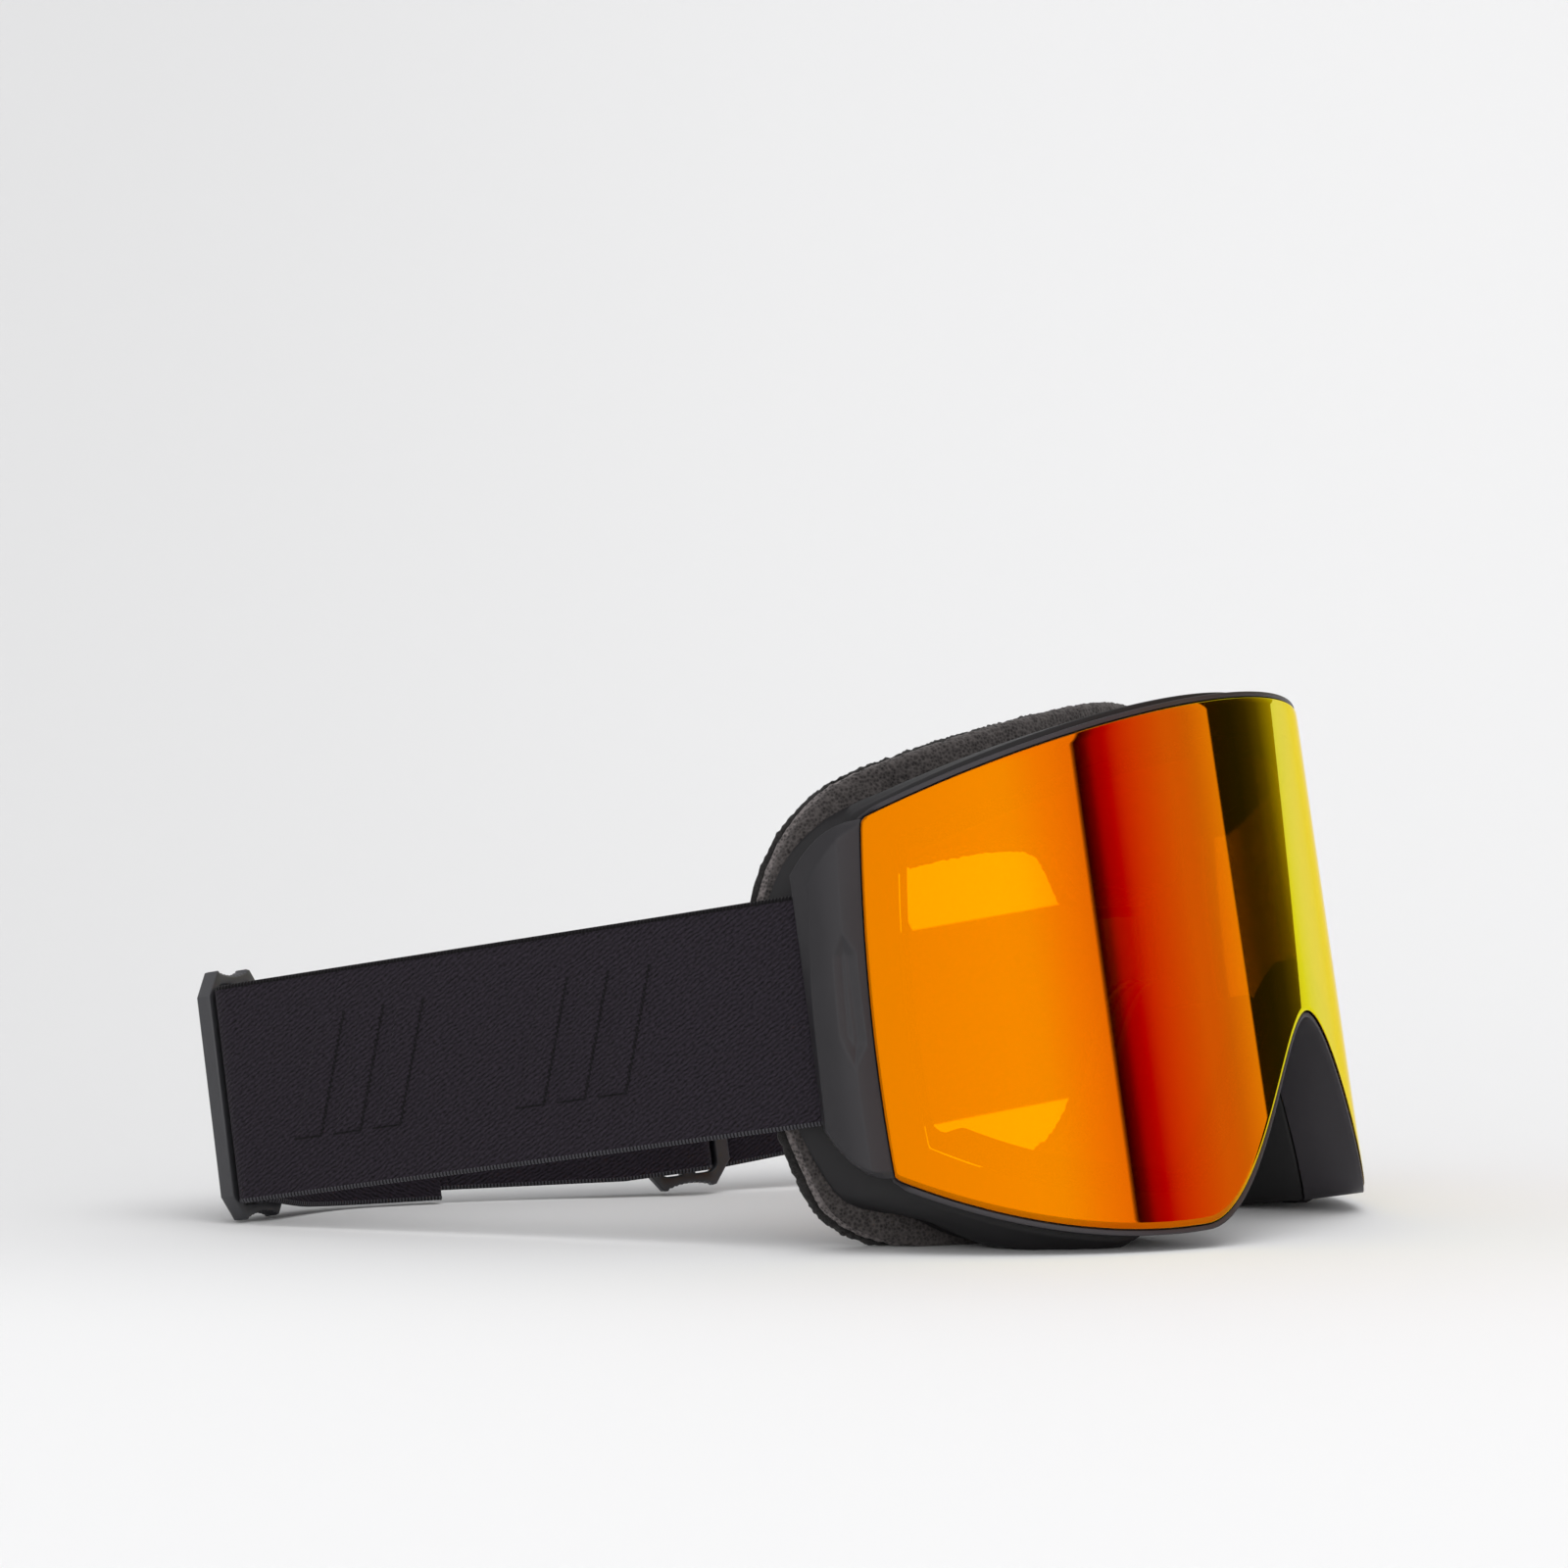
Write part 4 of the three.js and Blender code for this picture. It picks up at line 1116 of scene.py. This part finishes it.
def ribbon(name, parts, heights, start_length=0.0, pitch=0.8, columns=16, raised=False):
    """A woven strap standing on edge along a plan path, with a thicker bound edge at its top and bottom."""
    path = rounded(np.vstack(parts), pitch)
    left = left_of(path)
    lengths = path_lengths(path)
    half = STRAP_WIDTH / 2
    body = np.linspace(-half + 1.1, half - 1.1, columns)
    edge = [(-half + 1.0, 0.7), (-half + 0.85, 0.86), (-half + 0.35, 0.8), (-half, 0.35)]
    outer = [(h, 0.7) for h in body]
    top = [(-h, w) for h, w in edge]
    one_side = edge[::-1] + outer + top
    other_side = [(h, -w) for h, w in reversed(one_side)]
    section = one_side + other_side
    size = len(section)
    points = np.empty((len(path), size, 3))
    uvs = np.empty((len(path), size, 2))
    for j, (h, w) in enumerate(section):
        lift = w * STRAP_THICKNESS / 1.4
        offset = np.full(len(path), lift)
        if raised and w > 0:
            offset = offset + MOTIF_RAISE * smooth(motif(lengths, h), -0.1, 0.6)
        points[:, j, :2] = path + left * offset[:, None]
        points[:, j, 2] = heights(lengths) + h
        uvs[:, j, 0] = (lengths + start_length) / UV_SPAN
        uvs[:, j, 1] = 0.5 + h / UV_SPAN
    faces = grid_faces(len(path), size, False, True)
    faces.append(tuple(range(size)))
    faces.append(tuple(range((len(path) - 1) * size, len(path) * size)))
    painted_shade_faces = np.zeros(len(faces), int)
    # Faces along one side of each raised bar take the strap's second, darker material: painted shade beside
    # the bars.
    if raised:
        heights_across = np.array([h for h, w in section])
        inside = motif(lengths[:, None], heights_across[None, :])
        further = motif(lengths[:, None] - 0.4, heights_across[None, :] - 0.3)
        shaded_side_of_bar = (np.abs(inside + 0.1) < 0.24) & (further < inside)
        shaded_side_of_bar &= np.array([w > 0 for h, w in section])[None, :]
        painted_shade_faces[:-2] = shaded_side_of_bar[:-1].ravel()
    strip = build(
        name, points.reshape(-1, 3), faces, [strap_weave, strap_painted_shade], painted_shade_faces, uvs.reshape(-1, 2),
    )
    face_out(strip)
    return strip


def sloping(first, last, level_until):
    """Heights by length: level at the first, then an even slope to the last."""
    def heights(lengths):
        return mix(first, last, np.clip((lengths - level_until) / (lengths[-1] - level_until), 0, 1))
    return heights


def folded(first, last, reach, drop):
    """Heights by length of a strap that runs to a slider, folds round its bar and lies back along itself."""
    def heights(lengths):
        back = np.clip(lengths - reach - FOLD_LENGTH, 0, None)
        share = np.clip(lengths, 0, reach) / reach - back / reach
        return mix(first, last, share) - drop * smooth(back, 0, 20)
    return heights


def make_straps():
    right_loop = bar_loop(RIGHT_BAR, 1)
    corner = RIGHT_SLIDER.at(-10.4, -7)
    into = RIGHT_SLIDER.at(-7.4, -47) - corner
    right_side = free_run(right_loop[-1], RIGHT_BAR.along * RIGHT_PULL, corner, into, SIDE_STEPS)
    bend = ((-10.4, -6.7), (-10.2, -4.9), (-9.3, -3.4), (-7.8, -UNDER_BAR))
    through = on(RIGHT_SLIDER, bend + THREADED[:3])
    low, high = RIGHT_SLIDER.height, LEFT_SLIDER.height
    mean = (low + high) / 2
    parts = [right_loop, right_side[1:], through]
    right_front = ribbon("strap_right_front", parts, sloping(0, low, 25), 0, 0.36, 110, True)

    shared = free_run(
        RIGHT_SLIDER.at(SLIDER_LENGTH / 2, 0), RIGHT_SLIDER.along * SHARED_PULL,
        LEFT_SLIDER.at(SLIDER_LENGTH / 2, 0), LEFT_SLIDER.along * SHARED_PULL, SHARED_STEPS,
    )
    steps = np.arange(SHARED_STEPS + 1)
    from_end = np.minimum(steps, SHARED_STEPS - steps)
    spread = mix(UNDER_BAR, LAYER / 2, smooth(from_end / CLOSING_STEPS, 0, 1))
    outer_layer = beside(shared, spread)
    inner_layer = beside(shared, -spread)
    inner_tail = beside(shared, -spread - LAYER)[:INNER_TAIL_STEPS]
    outer_tail = beside(shared, spread + LAYER)[::-1][:TAIL_STEPS]
    half_way = SHARED_STEPS // 2

    parts = [on(RIGHT_SLIDER, THREADED[2:]), outer_layer[:half_way + 1]]
    right_a = ribbon("strap_outer_right", parts, sloping(low, mean, 30), REAR_START)
    reach = path_lengths(outer_layer[half_way:])[-1]
    parts = [outer_layer[half_way:], on(LEFT_SLIDER, FOLDED), outer_tail]
    right_b = ribbon("strap_outer_left", parts, folded(mean, high, reach, -0.3), REAR_MIDDLE)

    left_loop = bar_loop(LEFT_BAR, -1)
    join = LEFT_SLIDER.at(-10, -UNDER_BAR)
    into = LEFT_SLIDER.along * -JOIN_PULL
    left_side = free_run(left_loop[-1], LEFT_BAR.along * LEFT_PULL, join, into, SIDE_STEPS)
    left_front = ribbon("strap_left_front", [left_loop, left_side[1:]], sloping(-1.3, high, 20))
    parts = [on(LEFT_SLIDER, ((-9.9, -UNDER_BAR),) + THREADED), inner_layer[::-1][:half_way + 1]]
    left_a = ribbon("strap_inner_left", parts, sloping(high, mean, 30), REAR_START)
    parts = [inner_layer[half_way::-1], on(RIGHT_SLIDER, FOLDED), inner_tail]
    left_b = ribbon("strap_inner_right", parts, folded(mean, low, reach, 1.3), REAR_MIDDLE)

    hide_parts("strap_right")
    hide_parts("strap_right_rear")
    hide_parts("strap_right_rear")
    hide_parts("strap_left")
    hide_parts("strap_left_rear")
    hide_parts("strap_left_rear")
    centre = in_frame((*shared[half_way], 0))
    front_near = in_frame((*right_side[22], 0))
    left_near = in_frame((*left_side[22], 0))
    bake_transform(right_front)
    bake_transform(left_front)
    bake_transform(right_a)
    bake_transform(left_b)
    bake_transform(right_b)
    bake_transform(left_a)


# ---- sliders ----


def slider_outline():
    half, ear, ear_u = SLIDER_LENGTH / 2, SLIDER_HEIGHT / 2, 5.7
    hollow_depth, tooth_depth, teeth = 1.1, 0.28, 9
    edge = [(half, ear - 5.2), (ear_u + 0.5, ear - 0.15), (ear_u - 0.4, ear)]
    for n in range(1, 2 * teeth):
        u = ear_u * (1 - n / teeth) * 0.93
        hollow = hollow_depth * (1 - (u / ear_u) ** 2)
        edge.append((u, ear - hollow - (tooth_depth if n % 2 else 0)))
    edge += [(-ear_u + 0.4, ear), (-ear_u - 0.5, ear - 0.15), (-half, ear - 5.2)]
    return edge + [(-u, -v) for u, v in edge]


def slot_outline(end):
    top = STRAP_WIDTH / 2 + 0.4
    near, far, radius = 1.6, SLIDER_LENGTH / 2 - 3.2, 2.2
    corners = [(near, -top), (near, top)]
    for centre_v, first in ((top - radius, 90), (-top + radius, 0)):
        for n in range(7):
            angle = math.radians(first - n * 15)
            corners.append((far - radius + radius * math.cos(angle), centre_v + radius * math.sin(angle)))
    return [(end * u, v) for u, v in corners]


def make_slider(name, plan, body, node):
    """A tri-glide plate with rounded edges, from a filled flat curve."""
    depth = 0.45
    curve = bpy.data.curves.new(name, "CURVE")
    curve.dimensions = "2D"
    curve.fill_mode = "BOTH"
    curve.extrude = SLIDER_THICKNESS / 2 - depth
    curve.bevel_depth = depth
    curve.bevel_resolution = 2
    curve.offset = -depth
    for outline in (slider_outline(), slot_outline(1), slot_outline(-1)):
        spline = curve.splines.new("POLY")
        spline.points.add(len(outline) - 1)
        for point, (u, v) in zip(spline.points, outline):
            point.co = (u, v, 0, 1)
        spline.use_cyclic_u = True
    source = shown(name + "_curve", curve)
    graph = bpy.context.evaluated_depsgraph_get()
    mesh = bpy.data.meshes.new_from_object(source.evaluated_get(graph))
    bpy.data.objects.remove(source)
    along, across = plan.along, plan.across
    turn = Matrix((
        (along[0], 0, across[0], plan.origin[0]),
        (along[1], 0, across[1], plan.origin[1]),
        (0, 1, 0, plan.height),
        (0, 0, 0, 1),
    ))
    mesh.transform(UPRIGHT @ turn)
    mesh.materials.clear()
    mesh.materials.append(slider_plastic)
    obj = shown(name, mesh)
    shape = bmesh.new()
    shape.from_mesh(mesh)
    bmesh.ops.remove_doubles(shape, verts=shape.verts, dist=0.00001)
    bmesh.ops.recalc_face_normals(shape, faces=shape.faces)
    shape.to_mesh(mesh)
    shape.free()
    mesh.set_sharp_from_angle(angle=math.radians(32))
    place(obj, body, "slider_plastic", node)


# ---- all the pieces ----

make_lens()
make_front_frame()
make_face_frame()
vent_pad("filter_low_left", CHEEK_START + 7, CHEEK_START + 10, "vent_foam_bottom_left")
vent_pad("filter_low_right", -CHEEK_START - 10, -CHEEK_START - 7, "vent_foam_bottom_right")
make_padding()
make_nose_flap()
make_cover(1, "left")
make_cover(-1, "right")
make_straps()
make_slider("glide_right", RIGHT_SLIDER, RIGHT_SLIDER_BODY, "slider_right")
make_slider("glide_left", LEFT_SLIDER, LEFT_SLIDER_BODY, "slider_left")

for node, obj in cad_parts.items():
    for word, material in (("magnet", magnet_steel), ("strap_bar", steel)):
        if word in node:
            obj.data.materials.clear()
            obj.data.materials.append(material)


# ---- floor, light and camera ----

CAMERA_AZIMUTH = -59.5
CAMERA_ELEVATION = -0.19
CAMERA_DISTANCE = 0.76703
CAMERA_LENS = 86.23
TARGET = ORIGIN + Vector((-53.3, 90.4, 33.6)) * MM


def direction(azimuth, elevation=0.0):
    """Unit vector towards an azimuth: 0 is -Y, and -90 is -X."""
    a, e = math.radians(azimuth), math.radians(elevation)
    return Vector((math.sin(a) * math.cos(e), -math.cos(a) * math.cos(e), math.sin(e)))


def stage_mesh(name, points, faces, material):
    mesh = bpy.data.meshes.new(name)
    mesh.from_pydata(points, [], faces)
    mesh.materials.append(material)
    mesh.polygons.foreach_set("use_smooth", np.full(len(mesh.polygons), True))
    obj = shown(name, mesh)
    return obj


SWEEP_START = 0.17
SWEEP_RADIUS = 0.8
SWEEP_STEPS = 24
SWEEP_HALF_WIDTH = 6.0
# Painted shade on the paper, from left to right, in front of the goggles and behind them: the paper is
# darker behind, where less light reaches it.
PAPER_SHADE_FRONT = (0.85, 0.86)
PAPER_SHADE_BEHIND = (0.81, 0.79, 0.75)


def paper_share(s, way, foot, low, high):
    """How far along a direction each place on the paper is: 0 at low metres from foot, 1 at high."""
    along = s.add("VectorMath", operation="DOT_PRODUCT")
    s.link(s.position(), along.inputs[0])
    along.inputs[1].default_value = way
    start = foot.dot(way)
    ends = (start + low, start + high)
    return s.spread(along.outputs["Value"], ends, interpolation_type="SMOOTHSTEP")


def make_sweep():
    """Paper that lies flat under the goggles and curves up behind them, square to the camera."""
    s = Surface("paper_sweep", 0.9, Specular_IOR_Level=0.05)
    away = -direction(CAMERA_AZIMUTH)
    side = Vector((-away.y, away.x, 0))
    profile = [(-4.0, 0), (-0.5, 0)]
    for n in range(SWEEP_STEPS + 1):
        angle = math.radians(90 * n / SWEEP_STEPS)
        rise = SWEEP_RADIUS * (1 - math.cos(angle))
        profile.append((SWEEP_START + SWEEP_RADIUS * math.sin(angle), rise))
    profile.append((profile[-1][0], 4.0))
    foot = Vector((TARGET.x, TARGET.y, 0))
    # Painted shade: the paper's colour is darker behind the goggles than in front of them, and changes
    # across from side to side.
    depth = paper_share(s, away, foot, -0.16, 0.03)
    breadth = paper_share(s, side, foot, -0.36, 0.36)
    front, behind = (
        s.ramp(breadth, *((n / (len(shades) - 1), (v, v, v + 0.005, 1)) for n, v in enumerate(shades)))
        for shades in (PAPER_SHADE_FRONT, PAPER_SHADE_BEHIND)
    )
    s.link(s.blend(depth, front, behind), s.shader.inputs["Base Color"])
    widths = (-SWEEP_HALF_WIDTH, SWEEP_HALF_WIDTH)
    points = [foot + away * d + side * w + Vector((0, 0, h)) for d, h in profile for w in widths]
    faces = [(2 * n, 2 * n + 1, 2 * n + 3, 2 * n + 2) for n in range(len(profile) - 1)]
    stage_mesh("paper", points, faces, s.material)


# The light tent's light by azimuth: degrees, then the light's colour.
TENT = (
    (-88, (1.5, 1.5, 1.5)),
    (-68, (1.6, 1.55, 1.55)),
    (-42, (1.7, 1.7, 1.7)),
    (-24, (1.6, 1.6, 1.6)),
    (-15.0, (1.5, 1.4, 1.4)),
    (-14.4, (0.02, 0.0, 0.0)),
    (-13.2, (0.05, 0.0, 0.0)),
    (-10.6, (0.2, 0.0, 0.0)),
    (-7.8, (0.6, 0.0, 0.0)),
    (-3.7, (0.8, 0.0, 0.0)),
    (0.5, (1.0, 0.15, 0.0)),
    (6, (1.1, 0.32, 0.1)),
    (18.5, (1.15, 0.65, 0.2)),
    (37.2, (1.1, 0.65, 0.1)),
    (37.7, (0.02, 0.02, 0.01)),
    (48, (0.02, 0.02, 0.01)),
    (56, (0.04, 0.03, 0.0)),
    (63, (0.1, 0.07, 0.0)),
    (72, (0.32, 0.23, 0.0)),
    (78, (0.48, 0.42, 0.02)),
    (84, (0.65, 0.6, 0.05)),
    (112, (0.85, 0.9, 0.8)),
)
SHINE_RADIUS = 1.08
FILL_RADIUS = 1.5
TENT_TOP = 0.8
TENT_PEAK = 2.0
FILL_FIRST = -88
FILL_LAST = 37
FILL_STRENGTH = 1.15


def tent_wall(name, first, last, radius, material):
    """An upright curved panel round the goggles, from one azimuth to another. The camera doesn't see it."""
    steps = 40
    points = []
    for n in range(steps + 1):
        way = direction(first + (last - first) * n / steps) * radius
        points += [(ORIGIN.x + way.x, ORIGIN.y + way.y, height) for height in (0.002, TENT_TOP)]
    faces = [(2 * n, 2 * n + 2, 2 * n + 3, 2 * n + 1) for n in range(steps)]
    tent = stage_mesh(name, points, faces, material)
    layer = tent.data.uv_layers.new(name="UVMap")
    for loop in tent.data.loops:
        layer.data[loop.index].uv = ((loop.vertex_index // 2) / steps, loop.vertex_index % 2)
    tent.visible_camera = False
    tent.visible_shadow = False
    return tent


def glow(name, strength):
    """A material that only gives off light, and the parts that set its colour."""
    material = bpy.data.materials.new(name)
    material.use_nodes = True
    nodes = material.node_tree.nodes
    nodes.clear()
    out = nodes.new("ShaderNodeOutputMaterial")
    emission = nodes.new("ShaderNodeEmission")
    emission.inputs["Strength"].default_value = strength
    material.node_tree.links.new(emission.outputs[0], out.inputs["Surface"])
    return material, nodes, emission


def make_tent():
    """Two curved panels: one gives the lens its bands and shows only in shine, one lights the rest."""
    first, last = TENT[0][0], TENT[-1][0]
    banded, nodes, emission = glow("tent_light", TENT_PEAK)
    links = banded.node_tree.links
    ramp = nodes.new("ShaderNodeValToRGB")
    shares = [((a - first) / (last - first), dimmed(colour, 1 / TENT_PEAK)) for a, colour in TENT]
    set_stops(ramp, shares)
    uv = nodes.new("ShaderNodeTexCoord")
    split = nodes.new("ShaderNodeSeparateXYZ")
    links.new(uv.outputs["UV"], split.inputs[0])
    links.new(split.outputs[0], ramp.inputs["Fac"])
    links.new(ramp.outputs["Color"], emission.inputs["Color"])
    shine = tent_wall("light_tent", first, last, SHINE_RADIUS, banded)
    shine.visible_diffuse = False
    fill = tent_wall("fill_tent", FILL_FIRST, FILL_LAST, FILL_RADIUS, glow("fill_light", FILL_STRENGTH)[0])
    fill.visible_glossy = False
    fill.visible_transmission = False


def aimed(name, data, target, azimuth, elevation, distance):
    """Puts a light or a camera at a distance from a target, looking at it."""
    obj = shown(name, data)
    way = direction(azimuth, elevation)
    obj.location = target + way * distance
    obj.rotation_mode = "QUATERNION"
    obj.rotation_quaternion = way.to_track_quat("Z", "Y")
    return obj


def make_overhead():
    """A wide disc of light above the goggles, which doesn't show in shine."""
    data = bpy.data.lights.new("overhead", "AREA")
    data.shape = "DISK"
    data.size = 1.4
    data.energy = 9
    light = aimed("overhead", data, ORIGIN + Vector((0, 0.08, 0)), -20, 72, 1.5)
    light.visible_glossy = False


def make_studio():
    world = bpy.data.worlds.new("studio")
    world.use_nodes = True
    background = world.node_tree.nodes["Background"]
    background.inputs["Color"].default_value = (1, 1, 1, 1)
    background.inputs["Strength"].default_value = 0.8
    bpy.context.scene.world = world
    make_sweep()
    make_tent()
    make_overhead()


def make_camera():
    data = bpy.data.cameras.new("camera")
    data.lens = CAMERA_LENS
    data.sensor_width = 36
    data.clip_start = 0.01
    data.clip_end = 50
    bpy.context.scene.camera = aimed(
        "camera", data, TARGET, CAMERA_AZIMUTH, CAMERA_ELEVATION, CAMERA_DISTANCE,
    )


make_studio()
make_camera()
bpy.context.scene.view_settings.view_transform = "Standard"
